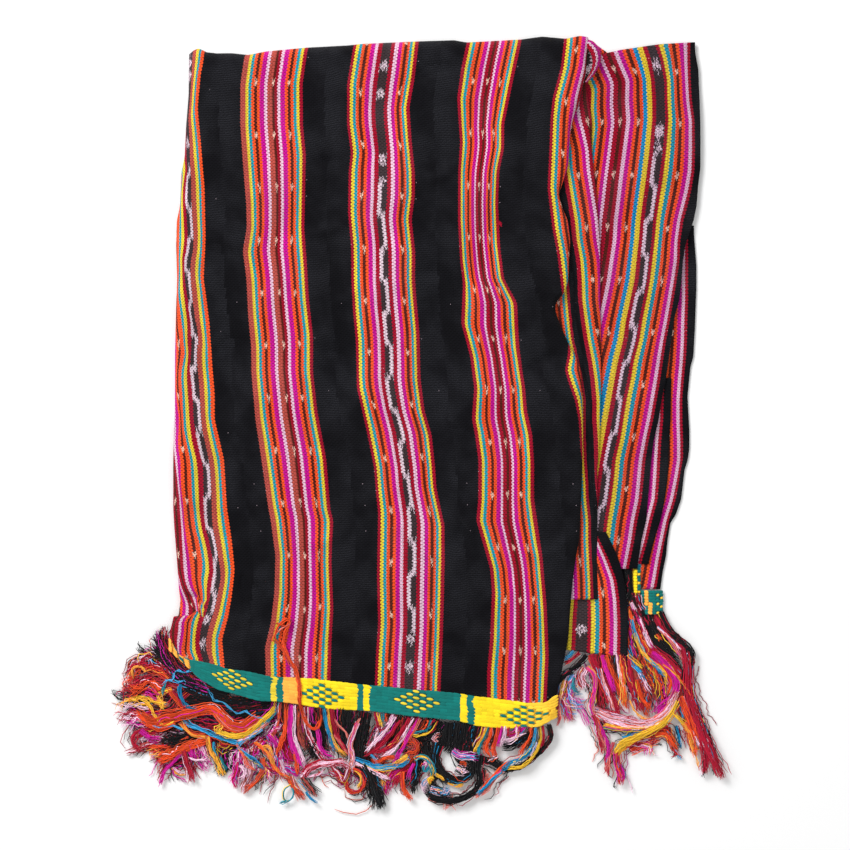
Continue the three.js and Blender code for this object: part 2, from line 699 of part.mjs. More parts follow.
// The twined band of the back end has curled up into two short bits.
const BACK_BAND = { left: 326, right: 356, head: -257, foot: -290, low: 3, rise: 2.4 };
const BACK_STUB = { left: 316, right: 326, head: -229, foot: -262, low: 4.2, rise: 2.6 };
const curlOver = ({ left, right, head, foot, low, rise }) =>
  wallFrom(
    planGrid({
      across: shares(1, 6, 0, 0),
      along: shares(1, 4, 0, 0),
      left: () => left,
      right: () => right,
      head: () => head,
      foot: () => foot,
      height: (x) => low + rise * Math.sin((Math.PI * (x - left)) / (right - left)),
    }),
  );

const BUNDLE_CLIMB = { from: -340, run: 20 }; // where it climbs onto the band
function bundleTop(x, y) {
  const climb = Math.min(Math.max((BUNDLE_CLIMB.from - y) / BUNDLE_CLIMB.run, 0), 1);
  return frontHeight(x, y) + (WALL + GAP) * (1 + climb);
}
const looseBundle = wallFrom(
  planGrid({
    across: shares(1, 2, 0, 0),
    along: shares(1, 10, 0, 0),
    left: (y) => lookUp(BUNDLE, "y", y, "x") - lookUp(BUNDLE, "y", y, "width") / 2,
    right: (y) => lookUp(BUNDLE, "y", y, "x") + lookUp(BUNDLE, "y", y, "width") / 2,
    head: () => BUNDLE[0].y,
    foot: () => BUNDLE[BUNDLE.length - 1].y,
    height: bundleTop,
  }),
);

// ---------- scene graph ----------
const COLOURS = { black: 0x1c1e24, crimson: 0xb21230, orange: 0xfa5a1e, band: 0x007366, yarn: 0xc8285a };
const part = new THREE.Group();
part.name = "wrap_cloth";
function place(name, geometry, colour) {
  const material = new THREE.MeshStandardMaterial({ color: colour, roughness: 0.95, metalness: 0 });
  const mesh = new THREE.Mesh(geometry, material);
  mesh.name = name;
  part.add(mesh);
}
place("hidden_layers", hiddenLayers, COLOURS.black);
place("front_panel", frontPanel, COLOURS.black);
place("twined_band_front", frontBand, COLOURS.band);
place("inner_layer", innerLayer, COLOURS.crimson);
place("back_panel", backPanel, COLOURS.crimson);
place("lower_flap", lowerFlap, COLOURS.crimson);
place("under_strip", stripLayer, COLOURS.crimson);
place("selvedge_strip", selvedgeLayer, COLOURS.crimson);
place("twined_band_back", curlOver(BACK_BAND), COLOURS.band);
place("twined_band_stub", curlOver(BACK_STUB), COLOURS.band);
place("loose_bundle", looseBundle, COLOURS.orange);
FRINGES.forEach((fringe) => place(fringe.name, fringeFrom(fringe), COLOURS.yarn));

export default part;
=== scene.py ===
"""A handwoven striped wrap cloth, folded and laid flat, with a twined end band and a long warp fringe.

Tables are in millimetres over the plan of the laid cloth: x across the warp, y along it, z up from the
floor. A stripe line is a list of (y, x). Meshes are in metres.
"""
import math
import bmesh
import bpy
import mathutils
import numpy as np
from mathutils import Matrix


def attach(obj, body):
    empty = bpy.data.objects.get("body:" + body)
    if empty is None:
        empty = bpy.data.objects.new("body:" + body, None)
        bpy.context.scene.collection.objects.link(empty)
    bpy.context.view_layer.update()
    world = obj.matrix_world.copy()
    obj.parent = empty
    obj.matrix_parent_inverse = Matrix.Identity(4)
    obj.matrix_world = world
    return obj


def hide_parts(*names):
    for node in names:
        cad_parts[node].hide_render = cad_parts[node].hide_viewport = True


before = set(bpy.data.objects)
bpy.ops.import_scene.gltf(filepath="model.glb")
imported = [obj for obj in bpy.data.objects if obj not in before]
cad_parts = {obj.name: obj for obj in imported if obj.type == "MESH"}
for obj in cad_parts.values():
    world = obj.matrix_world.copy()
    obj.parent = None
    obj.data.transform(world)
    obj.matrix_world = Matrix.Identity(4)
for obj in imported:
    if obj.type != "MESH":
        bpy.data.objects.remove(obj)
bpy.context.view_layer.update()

# ---------- driving sizes, mm ----------
MM = 0.001
WALL = 1.4  # one layer of cloth
BAND_WIDTH = 88.0  # a striped band of the cloth, off the loom
GROUND_WIDTH = 66.0  # the plain black ground between two bands
RIB_PITCH = 2.37  # from one weft pick to the next
YARN_PITCH = 1.5  # from one warp end to the next
ROLL_RUN = 15.0  # how far a folded edge takes to round down
HEM_LOW = 6.8  # where the outermost layer of a fold turns under
SEED = 7

# ---------- yarn colours, as sRGB ----------
PALETTE = {
    "black": (10, 9, 14),
    "crimson": (160, 8, 40),
    "brick": (178, 74, 64),
    "yellow": (226, 200, 52),
    "cyan": (30, 148, 168),
    "blue": (20, 142, 194),
    "orange": (240, 82, 34),
    "brown": (84, 28, 18),
    "magenta": (192, 12, 138),
    "white": (226, 186, 206),
    "charcoal": (56, 44, 46),
    "bleached": (236, 212, 224),
    "fleck": (250, 206, 186),
    "green": (0, 112, 106),
    "lemon": (248, 216, 28),
    "amber": (255, 176, 70),
    "salmon": (232, 130, 120),
    "sky": (70, 176, 230),
    "gold": (255, 204, 56),
    "rose": (222, 22, 166),
    "pale": (252, 214, 234),
    "ruby": (186, 14, 52),
}


def linear(name):
    """A palette colour in linear light, with full alpha."""
    def channel(value):
        share = value / 255
        return share / 12.92 if share <= 0.04045 else ((share + 0.055) / 1.055) ** 2.4

    return tuple(channel(value) for value in PALETTE[name]) + (1.0,)


def dyed(name, shade):
    """A palette colour made lighter or darker."""
    return [shade * part for part in linear(name)[:3]] + [1.0]


# ---------- where the stripe edges lie ----------
def points_of(text):
    """Points that are written as pairs with a comma between their two numbers."""
    return [tuple(float(part) for part in pair.split(",")) for pair in text.split()]


# Each line's name and its points, as y,x from the head to the foot.
LINE_TABLE = """
left: 467,-285 413,-285.5 370,-289 328,-291 306,-295.5 263,-297 242,-301.5 209,-302.5 163,-301 124,-302.5
  59,-304 11,-304 -26,-305 -80,-306.5 -147,-306.5 -173,-305 -216,-301.5 -259,-298.5 -278,-295.5 -290,-299
  -302,-306.5 -324,-313 -351,-313;
right: 479,254 459,251 439,250.5 418,245.5 405,243 392,239 378,233 364,229.5 338,228 317,227 304,223
  290,218.5 277,214 256,220 243,226 216,229.5 189,228 162,227 146,223 132,210.5 122,209 108,213.5 92,220
  74,228 61,236.5 47,241.5 30,244.5 -3,245.5 -40,247 -108,245.5 -163,243 -190,241.5 -211,237.5 -239,233.5
  -266,231 -323,227 -358,220 -396,212 -432,206.5;
band_1_right: 479,-263 456,-264.5 435,-268.5 392,-272.5 338,-267.5 285,-263 220,-262 163,-264.5 146,-262
  103,-256.5 59,-254 7,-250 -26,-250 -80,-237.5 -147,-233.5 -189,-227 -228,-223 -263,-227 -293,-232
  -323,-240.5 -359,-237.5;
band_2_left: 479,-206.5 463,-209 424,-214.5 370,-214.5 312,-210.5 263,-206.5 231,-206 200,-211.5
  163,-206.5 113,-204 70,-200 38,-200 -26,-194.5 -80,-186.5 -147,-177 -162,-174 -209,-167.5 -259,-169
  -301,-174 -333,-182 -370,-181;
band_2_right: 477,-124 424,-131.5 370,-131 328,-127 285,-128 231,-129.5 177,-125.5 135,-123 86,-117.5
  38,-117.5 -15,-112 -80,-100 -147,-94.5 -162,-90.5 -216,-93 -281,-90.5 -323,-93 -377,-94.5;
band_3_left: 479,-62 424,-71 370,-71 332,-66 306,-69 252,-70 209,-66 163,-65.5 124,-63.5 81,-59.5 16,-58
  -36,-46 -90,-35 -122,-32.5 -151,-29.5 -238,-31 -301,-29.5 -344,-32.5 -383,-34;
band_3_right: 485,25 435,19.5 392,12 348,15 306,19.5 274,19.5 242,15 198,20 163,19.5 135,21.5 92,25.5
  27,27 -15,32.5 -47,42 -90,46.5 -119,48.5 -169,59.5 -216,59.5 -281,58 -333,56.5 -387,54;
band_4_left: 483,90.5 446,82.5 405,77 348,81 306,78.5 242,78.5 188,81 157,85 103,82.5 59,94.5 16,100
  -26,97 -47,101 -80,105.5 -134,105.5 -162,102.5 -194,112 -227,121.5 -259,124 -323,121.5 -366,117.5
  -398,117.5;
band_4_right: 486,163.5 435,152.5 370,139 338,139 306,132.5 263,131 209,133.5 163,139 131,156.5 70,159.5
  16,167.5 -15,170 -47,177 -86,179.5 -134,179.5 -162,183.5 -216,191.5 -281,197 -344,200 -405,197;
band_5_left: 489,221.5 446,216 405,205 381,202.5 316,200 285,198.5 231,205 194,212 163,216 140,218.5
  108,217.5 81,227 59,225.5 40,221.5 22,227 1,235 -26,240.5 -65,243 -94,247 -135,254 -405,254;
inner_band_right: 459,189 270,216 189,224 148,229 135,229.5 108,232 81,235 54,241.5 27,247 0,251 -54,251
  -81,252 -108,254 -135,255 -162,258 -189,258 -216,259 -243,260.5 -270,261;
inner_border_left: 473,201 405,202.5 378,206.5 364,210.5 338,216.5 310,218.5 270,225 243,229.5 216,232
  189,237 162,239 135,239.5 108,243 81,247 54,252.5 27,256.5 0,259 -27,259 -54,261 -108,262.5 -148,267.5
  -270,278;
valley: 486,254 459,254 446,251 425,251 405,254 378,259 338,259 297,263 270,266 243,268.5 216,270
  135,270.5 81,271.5 0,271.5 -27,270 -54,269.5 -94,266.5 -135,266.5 -270,267.5;
back_magenta: 479,290 459,297 432,309 405,308 378,310 338,305 297,299.5 270,296.5 243,293 216,291.5
  189,287.5 162,283.5 135,278 108,272 81,266 54,258 0,247 -54,237.5 -270,218.5;
back_ikat_left: 481,332 459,339 432,343.5 405,345.5 378,345.5 338,342 297,337 270,333 243,329.5 216,327.5
  189,324.5 162,322 135,316 108,310.5 81,307 54,300.5 27,295.5 0,291 -27,286 -54,281 -81,275.5 -108,271.5
  -135,268.5 -162,264.5 -270,250;
back_ikat_right: 481,343 459,351 432,356.5 405,357 378,358 338,354.5 297,349 270,345 243,341.5 216,339.5
  189,336 162,333 135,328 108,322.5 81,318.5 54,311 27,306.5 0,300.5 -27,296.5 -54,292.5 -81,286
  -108,283.5 -135,280 -162,275.5 -189,272.5 -270,264.5;
back_selvedge: 481,392 459,391.5 432,392 405,393.5 378,397.5 338,398 310,397.5 284,393 270,389.5 243,382
  216,378 189,377.5 162,373.5 135,369 108,364.5 81,359 54,355 27,351 0,346.5 -27,341.5 -54,335.5 -81,331
  -108,328.5 -135,326 -162,320 -189,316 -216,310.5 -243,305 -270,302.5;
back_right: 485,399 471,399 446,403.5 406,405 370,406 313,406 290,403 263,401 243,397 227,391.5 209,385.5
  189,382.5 162,380.5 135,377.5 108,370 81,366.5 54,363 27,359 0,353.5 -27,349.5 -54,343 -81,339.5
  -108,337.5 -135,335 -162,333 -189,326.5 -216,322.5 -270,316;
flap_ikat_left: -176,225.5 -216,232 -243,237.5 -270,239.5 -297,237.5 -324,236.5 -351,235;
flap_ikat_right: -176,236.5 -216,243 -243,250 -270,252.5 -297,253 -324,252.5 -351,251;
flap_selvedge: -176,262 -196,271.5 -216,281 -243,291.5 -270,295.5 -297,297 -324,297 -351,296.5;
flap_right: -155,272.5 -176,277 -189,283.5 -202,290 -216,295.5 -230,299.5 -243,303 -270,307 -297,308.5
  -324,308 -351,307;
strip_crimson: 27,356.5 0,355.5 -27,355 -54,352.5 -81,351 -108,349.5 -135,347.5 -162,340 -189,334
  -216,326.5 -270,316;
strip_right: 27,367 0,366.5 -27,366 -54,364 -81,363 -108,362 -135,358 -162,352.5 -189,344 -216,337.5
  -270,326.5;
outer_crimson: 243,389 162,389 135,389 108,388 81,387.5 54,386 27,383.5 0,381.5 -27,381.5 -54,382.5
  -81,382.5 -108,378 -135,372.5 -162,364 -189,358.5 -216,353 -243,348.5 -270,343;
outer_right: 250,397.5 221,398 182,401 151,401 97,399 59,397 45,393 5,389 -40,391.5 -65,391.5 -81,389.5
  -94,385 -134,380.5 -157,372.5 -165,366 -190,362 -211,360 -232,355.5 -254,352.5 -270,349.5;
border_ikat_right: 459,-279 432,-280.4 405,-282.6 378,-284.9 351,-283.5 324,-282.6 297,-280.8 270,-280.4
  243,-279 223,-277.7 202,-278.1 189,-280.9 176,-282 162,-281.3 148,-280 135,-279 122,-277.6 108,-275.8
  94,-272.7 81,-271.9 68,-273.2 54,-273.6 40,-272.3 27,-270.9 0,-269.1 -27,-267.4 -40,-266.1 -54,-263.1
  -68,-260.1 -81,-257.3 -94,-255.6 -122,-253.9 -162,-253.4 -176,-251.6 -189,-248.8 -202,-246.2 -216,-244.4
  -230,-241.8 -243,-241.5 -256,-244.5 -270,-247.1 -284,-250.3 -297,-255 -310,-258.8 -324,-261.8
  -338,-261.9 -351,-257.3;
border_ikat_left: 459,-285.4 432,-284.9 405,-286.5 378,-288.9 351,-288.4 324,-287.3 310,-285.8 297,-286.7
  284,-288.1 270,-288.8 256,-287.7 243,-286.7 216,-285.4 202,-286.7 189,-289.7 162,-289.3 148,-287.4
  135,-284.9 122,-283.5 108,-282 94,-280.9 68,-280.7 54,-282 40,-282.6 27,-280.9 14,-279.5 -14,-278.5
  -27,-278.1 -40,-275.8 -54,-272.8 -68,-269.9 -81,-266.9 -94,-265 -122,-264.6 -148,-264.1 -162,-263.1
  -176,-261.4 -189,-257.3 -202,-255 -216,-252 -230,-250.7 -243,-253 -256,-254.6 -270,-256.9 -284,-260.3
  -297,-265.5 -310,-269.2 -324,-270.8 -338,-270.3 -351,-266.2;
border_yellow: 459,-295.7 378,-297 338,-293 310,-288.6 297,-290.7 284,-292.5 270,-292.5 256,-292
  243,-291.1 216,-290.2 202,-291.6 189,-293 162,-292.5 148,-291.6 135,-289.7 122,-288.4 108,-286.7
  81,-286.3 61,-284.6 40,-286.7 27,-287.1 14,-286.2 0,-285.3 -27,-283.5 -40,-282.3 -54,-280.7 -68,-277.7
  -81,-274.9 -94,-273.2 -122,-271.8 -148,-270.8 -162,-269.5 -176,-267.2 -189,-263.7 -202,-260.7
  -216,-258.8 -230,-257.6 -243,-260.1 -256,-260.8 -276,-260.4 -290,-264.7 -351,-268.2;
border_blue: 459,-305.1 338,-299.7 310,-295 297,-294.3 284,-295.8 270,-296.5 243,-296.5 223,-297 202,-297
  189,-297.9 176,-297.4 148,-298.8 135,-297.8 122,-295.8 108,-294.2 94,-292 81,-290.7 62,-288.9 40,-293.5
  27,-294.2 14,-293 -14,-292 -27,-291.6 -40,-290.7 -54,-287.7 -68,-284.9 -81,-282.3 -108,-280.9
  -135,-279.5 -148,-278.1 -162,-277.2 -176,-275.3 -189,-271.4 -202,-268.8 -216,-266.5 -230,-266.5
  -243,-268.1 -256,-265.5 -262,-264.6 -276,-266.6 -292,-266.8 -351,-270.2;
border_orange: 459,-318.6 202,-309.2 94,-302.9 68,-301.2 40,-302.3 20,-303.2 0,-301.1 -14,-298.8 -27,-297
  -40,-297.8 -54,-299.3 -68,-298.4 -81,-295.8 -108,-295.5 -122,-294.4 -135,-293.5 -148,-292.1 -162,-291.2
  -176,-289.7 -189,-288.4 -202,-286.3 -216,-283.9 -230,-282 -243,-280.9 -256,-276.8 -266,-271.5
  -276,-269.5 -286,-268.6 -292,-268.6 -351,-272.2;
border_white: 459,-326.7 94,-313.2 0,-307.3 -40,-304.6 -54,-305.5 -68,-305.1 -81,-303.2 -94,-301.2
  -108,-299.3 -122,-297.9 -148,-295.8 -176,-293.9 -202,-293 -216,-292.5 -230,-291.6 -243,-289.3
  -256,-284.5 -266,-279.8 -276,-275.4 -286,-271.4 -292,-270.6 -351,-274.2;
tuck_white: -243,-289.3 -256,-284.3 -270,-277.4 -278,-275.4 -285,-283.5 -292,-294.3 -300,-298.4
  -310,-298.8 -324,-300.8 -338,-300 -351,-298.4;
tuck_orange: -243,-280.9 -256,-277.7 -266,-272.4 -274,-270.3 -282,-275.4 -290,-286.2 -300,-291.3
  -310,-291.1 -324,-293.2 -338,-296.2 -351,-293;
tuck_blue: -243,-268.1 -256,-264.2 -266,-261.4 -273,-264.2 -281,-270.8 -289,-277.3 -297,-280.9 -310,-282.7
  -324,-283.5 -338,-284.3 -351,-279;
tuck_yellow: -243,-260.1 -256,-260.8 -265,-259.5 -273,-261.4 -281,-266.5 -289,-270.5 -297,-273 -310,-275.7
  -324,-277.2 -338,-276.8 -351,-272.3
"""
LINES = {}
for entry in LINE_TABLE.split(";"):
    name, points = entry.strip().split(":")
    LINES[name] = points_of(points)


def smooth_line(points, softness=7):
    """A stripe line as a function: x at any y, its corners eased over `softness` mm."""
    ys, xs = zip(*sorted(points))
    places = np.arange(ys[0] - 80.0, ys[-1] + 80.0, 1.0)
    window = np.hanning(2 * softness + 1)
    run = np.pad(np.interp(places, ys, xs), softness, mode="edge")
    eased = np.convolve(run, window / window.sum(), "valid")
    return lambda y: np.interp(y, places, eased)


LINE = {name: smooth_line(points) for name, points in LINES.items()}

# The fold at the head and the two edges of the end band, as (x, y) from left to right.
HEAD = [
    (-320, 466), (-285, 467), (-279, 472), (-272, 475), (-265, 472), (-258, 468), (-227, 468.5),
    (-205, 466), (-180, 471), (-126, 476), (-69, 479), (-51, 481), (26, 484.5), (73, 486), (90, 483),
    (163, 487), (192, 491), (224, 488), (243, 492), (257, 490), (266, 478), (300, 470),
]
BAND_TOP = [
    (-313, -318), (-297, -344), (-284, -350), (-254, -356), (-235, -362), (-207, -366), (-173, -373),
    (-155, -374), (-115, -376), (-95, -379), (-58, -383), (-39, -385), (14, -390), (73, -395), (104, -400),
    (142, -405), (174, -409), (196, -408), (211, -398),
]
BAND_FOOT = [
    (-313, -336), (-288, -359), (-270, -376), (-246, -390), (-217, -398), (-190, -405), (-164, -406),
    (-136, -410), (-104, -416), (-61, -418), (-40, -419), (8, -425), (78, -432), (104, -439), (142, -443),
    (185, -441), (208, -430),
]
BACK_HEAD = [(240, 455), (262, 462), (275, 468), (297, 473), (336, 479), (351, 481), (397, 484)]
FLAP_FOOT = [(220, -337), (254, -342), (278, -345), (298, -348), (310, -347)]


def edge_curve(points):
    """An edge that runs across the cloth, as a function: y at any x."""
    xs, ys = zip(*points)
    return lambda x: np.interp(x, xs, ys)


head_of, band_top_of, band_foot_of = edge_curve(HEAD), edge_curve(BAND_TOP), edge_curve(BAND_FOOT)
back_head_of, flap_foot_of = edge_curve(BACK_HEAD), edge_curve(FLAP_FOOT)

# The layers' top surfaces down the cloth: y, top layer, second layer, back panel.
HEIGHTS = [
    (-450, 12.0, 10.6, 6.1),
    (-340, 15.5, 10.6, 6.1),
    (-150, 19.5, 10.8, 6.3),
    (0, 21.5, 12.6, 7.4),
    (300, 24.0, 13.6, 8.0),
    (490, 25.0, 13.6, 8.0),
]
FLAP_HEAD, FLAP_TOP = -178.0, 8.4
STRIP_TOP, SELVEDGE_TOP = 4.0, 2.0

# Creases of the top layer, from one end to the other: a trough where the rise is negative.
CREASES = [  # x0, y0, x1, y1, width, rise
    (112, 330, 118, 170, 19, -3.0),
    (118, 180, 150, 90, 20, 2.0),
    (172, 440, 150, 160, 34, 2.4),
    (-150, 470, -142, -140, 24, -2.2),
    (-30, 200, 30, -160, 22, -2.0),
    (58, 480, 50, -20, 26, 2.2),
    (-245, 420, -215, -230, 26, 2.0),
    (205, 60, 215, -250, 18, 2.4),
    (-262, -220, -205, -330, 24, 2.0),
    (80, -130, 120, -330, 22, 2.0),
    (-125, 320, -62, 308, 7, -1.5),
    (-135, 225, -65, 250, 8, 1.7),
    (8, 420, 88, 448, 8, -1.5),
    (18, 292, 88, 330, 9, 1.6),
    (20, 176, 92, 142, 9, -1.5),
    (-268, 206, -205, 180, 8, -1.6),
    (-262, 56, -190, 78, 9, -1.5),
    (-232, -222, -160, -238, 8, 1.6),
    (-214, -230, -210, -262, 6, -1.8),
    (-122, 78, -52, 8, 11, -2.4),
    (60, -138, 104, -180, 9, 1.8),
    (150, 178, 240, 140, 9, 1.8),
    (160, 28, 238, 60, 8, -1.5),
    (-96, 130, -50, 158, 7, 1.2),
    (-118, -60, -58, -90, 10, -1.6),
    (-132, -190, -60, -170, 9, 1.3),
    (56, -40, 106, -60, 9, -1.6),
    (12, -204, 72, -200, 3, 0.6),
    (178, -210, 232, -180, 9, 1.5),
    (-296, 120, -262, 20, 10, -1.8),
    (-300, -60, -270, -150, 10, 1.6),
    (-292, -262, -262, -298, 6, -3.2),
    (-296, -238, -268, -262, 7, 2.4),
]
CREASE_DEPTH = 2.9  # all the creases together
CREASE_BOW = 0.12  # how far a crease bows aside, of its length
FURROW_DEPTH = 6.5
RIGHT_RUN, RIGHT_SHARE = 9.0, 0.5  # the top layer's right side rounds down only this far
# Furrows down the middle of a band, where the cloth has shrunk together across.
FURROWS = [
    ("band_2_left", "band_2_right"), ("band_3_left", "band_3_right"), ("band_4_left", "band_4_right"),
]


def mix(a, b, share):
    return a + (b - a) * share


def quarter(distance, run):
    """A quarter round: 0 at the edge, 1 once `run` away from it."""
    return np.sqrt(1.0 - (1.0 - np.clip(distance / run, 0.0, 1.0)) ** 2)


def rolled(distance, run, share):
    return 1.0 - share * (1.0 - quarter(distance, run))


def level_of(column, y):
    ys = [row[0] for row in HEIGHTS]
    return np.interp(y, ys, [row[column] for row in HEIGHTS])


def crease_rise(x, y):
    total = np.zeros_like(x)
    for x0, y0, x1, y1, width, rise in CREASES:
        dx, dy = x1 - x0, y1 - y0
        along = np.clip(((x - x0) * dx + (y - y0) * dy) / (dx * dx + dy * dy), 0.0, 1.0)
        bow = CREASE_BOW * math.copysign(math.hypot(dx, dy), rise) * np.sin(np.pi * along)
        away = ((x - x0) * dy - (y - y0) * dx) / math.hypot(dx, dy) - bow
        total += CREASE_DEPTH * rise * np.sin(np.pi * along) * np.exp(-((away / width) ** 2))
    return total


def furrow_drop(x, y):
    total = np.zeros_like(x)
    for left, right in FURROWS:
        start, width = LINE[left](y), LINE[right](y) - LINE[left](y)
        lost = np.clip(1.0 - width / BAND_WIDTH, 0.0, 0.5)
        share = np.clip((x - start) / width, 0.0, 1.0)
        total -= FURROW_DEPTH * np.sqrt(lost) * np.sin(np.pi * share) ** 2
    return total


# How the cloth ripples a little everywhere: length in mm, direction in degrees, rise in mm.
WAVES = [
    (310, 70, 0.55), (230, -25, 0.45), (170, 100, 0.40), (128, 35, 0.30), (96, -62, 0.26), (74, 12, 0.20),
    (57, 78, 0.15), (43, -40, 0.11), (33, 25, 0.08), (26, -82, 0.06),
]
WAVE_DEPTH = 1.9  # all the ripples together


def ripples(x, y):
    total = np.zeros_like(x)
    for number, (length, turn, rise) in enumerate(WAVES):
        direction = math.radians(turn)
        place = x * math.cos(direction) + y * math.sin(direction)
        sideways = y * math.cos(direction) - x * math.sin(direction)
        bend = 0.35 * length * np.sin(sideways / (0.9 * length) + 1.7 * number)
        total += WAVE_DEPTH * rise * np.sin(2 * math.pi * (place + bend) / length + 2.3 * number)
    return total


def front_height(x, y):
    top = level_of(1, y) + crease_rise(x, y) + furrow_drop(x, y) + ripples(x, y)
    side = rolled(x - LINE["left"](y), ROLL_RUN, 1.0) * rolled(LINE["right"](y) - x, RIGHT_RUN, RIGHT_SHARE)
    return HEM_LOW + (top - HEM_LOW) * side * rolled(head_of(x) - y, ROLL_RUN, 1.0)


def inner_height(x, y):
    top = level_of(2, y) + 0.5 * ripples(x, y)
    low = np.where(y < FLAP_HEAD + 60, FLAP_TOP, level_of(3, y)) + WALL
    pleat = 1.6 * np.exp(-(((x - LINE["inner_border_left"](y) + 6) / 7) ** 2))
    return low + (top - low) * rolled(LINE["valley"](y) - x, 12.0, 0.9) - pleat


def back_height(x, y):
    droop = np.where(y > 236, 2.2, 0.5)
    edge = droop * (1 - quarter(LINE["back_right"](y) - x, 60.0))
    return level_of(3, y) - edge - 1.6 * (1 - quarter(back_head_of(x) - y, 6.0)) + 0.45 * ripples(x, y)


def flap_height(x, y):
    return mix(FLAP_TOP, 6.4, np.clip((-y - 236) / 100, 0, 1)) + 0.35 * ripples(x, y)


# ---------- what is woven into the cloth ----------
# A band's stripes from left to right, each with its width in warp-end counts; they are scaled to the band.
IKAT_BAND = [
    ("crimson", 2.9), ("yellow", 2.7), ("cyan", 2.8), ("orange", 3), ("brown", 2.8), ("orange", 2.5),
    ("magenta", 4.1), ("white", 3.1), ("crimson", 3.7), ("charcoal", 8.5), ("crimson", 3.3), ("white", 3.4),
    ("magenta", 3.5), ("orange", 2.5), ("brown", 2.5), ("orange", 2.2), ("cyan", 2.5), ("yellow", 2.3),
    ("crimson", 3.2),
]
FLECK_BAND = [
    ("crimson", 3.4), ("yellow", 2.7), ("cyan", 2.7), ("orange", 3.5), ("brown", 3), ("orange", 2.6),
    ("magenta", 4.2), ("white", 2.3), ("crimson", 3.2), ("brown", 2.6), ("crimson", 2.4), ("white", 2.4),
    ("magenta", 3.2), ("orange", 3), ("brown", 2.6), ("orange", 2.6), ("cyan", 2.8), ("yellow", 2.4),
    ("crimson", 3.4),
]
BRICK_BAND = [
    ("brick", 5.1), ("yellow", 2.6), ("cyan", 2.8), ("orange", 3.1), ("brown", 2.8), ("orange", 3),
    ("magenta", 4.4), ("white", 2.6), ("brick", 5.2), ("brown", 2.3), ("crimson", 2.8), ("white", 2.9),
    ("magenta", 4.8), ("orange", 3), ("brown", 2.4), ("orange", 2.9), ("cyan", 3.2), ("yellow", 2.6),
    ("crimson", 3.3),
]
LEFT_BORDER = [
    ("crimson", 4), ("yellow", 3), ("cyan", 3), ("orange", 3), ("brown", 3), ("orange", 3), ("magenta", 3.6),
    ("white", 3), ("crimson", 4.4), ("brown", 3), ("crimson", 4), ("white", 3.6), ("magenta", 4),
    ("orange", 3.6), ("brown", 2.8), ("orange", 3.6), ("cyan", 3.4), ("yellow", 3.4), ("crimson", 4.6),
    ("charcoal", 8.2), ("brick", 5), ("yellow", 3), ("cyan", 2.8), ("orange", 3.6),
]
RIGHT_BORDER = [
    ("crimson", 4), ("yellow", 3.5), ("cyan", 3), ("orange", 3), ("brown", 3), ("orange", 3),
    ("magenta", 3.8), ("white", 3.4), ("crimson", 4.4), ("brown", 3.2), ("crimson", 3.8), ("white", 3.6),
    ("magenta", 4), ("orange", 3.2), ("brown", 2.8), ("orange", 2.9), ("blue", 4), ("yellow", 4.1),
    ("crimson", 3.8), ("charcoal", 8.7), ("crimson", 3.5), ("yellow", 3.7), ("cyan", 3.3), ("orange", 3.2),
    ("brown", 2.7), ("orange", 3), ("magenta", 3.5), ("white", 2.9), ("crimson", 3.1),
]
BORDER_WIDTH = 146.0
SELVEDGE_WIDTH = 12.5
STRIPES = {
    "left_border": (LEFT_BORDER, BORDER_WIDTH),
    "brick_band": (BRICK_BAND, BAND_WIDTH),
    "ikat_band": (IKAT_BAND, BAND_WIDTH),
    "fleck_band": (FLECK_BAND, BAND_WIDTH),
    "right_border": (RIGHT_BORDER, BORDER_WIDTH),
}
WEAVES = list(STRIPES)


def edges_of(stripes, width):
    """Where each stripe of a band begins, and where the last one ends, in mm from the band's left edge."""
    widths = np.array([size for _, size in stripes])
    return np.concatenate([[0.0], np.cumsum(widths)]) * width / widths.sum()


# Each band: the stripes that it is woven with and where its left edge lies, mm across the cloth off the loom.
STEP = BAND_WIDTH + GROUND_WIDTH
BANDS = [("left_border", 0.0)]
BANDS += [
    (name, BORDER_WIDTH + GROUND_WIDTH + number * STEP)
    for number, name in enumerate(["brick_band", "ikat_band", "fleck_band", "ikat_band"])
]
BANDS += [("right_border", BORDER_WIDTH + GROUND_WIDTH + 4 * STEP)]
LEFT_EDGES = edges_of(LEFT_BORDER, BORDER_WIDTH)
BORDER_EDGES = BANDS[5][1] + edges_of(RIGHT_BORDER, BORDER_WIDTH)
CLOTH_EDGE = BORDER_EDGES[-1] + SELVEDGE_WIDTH


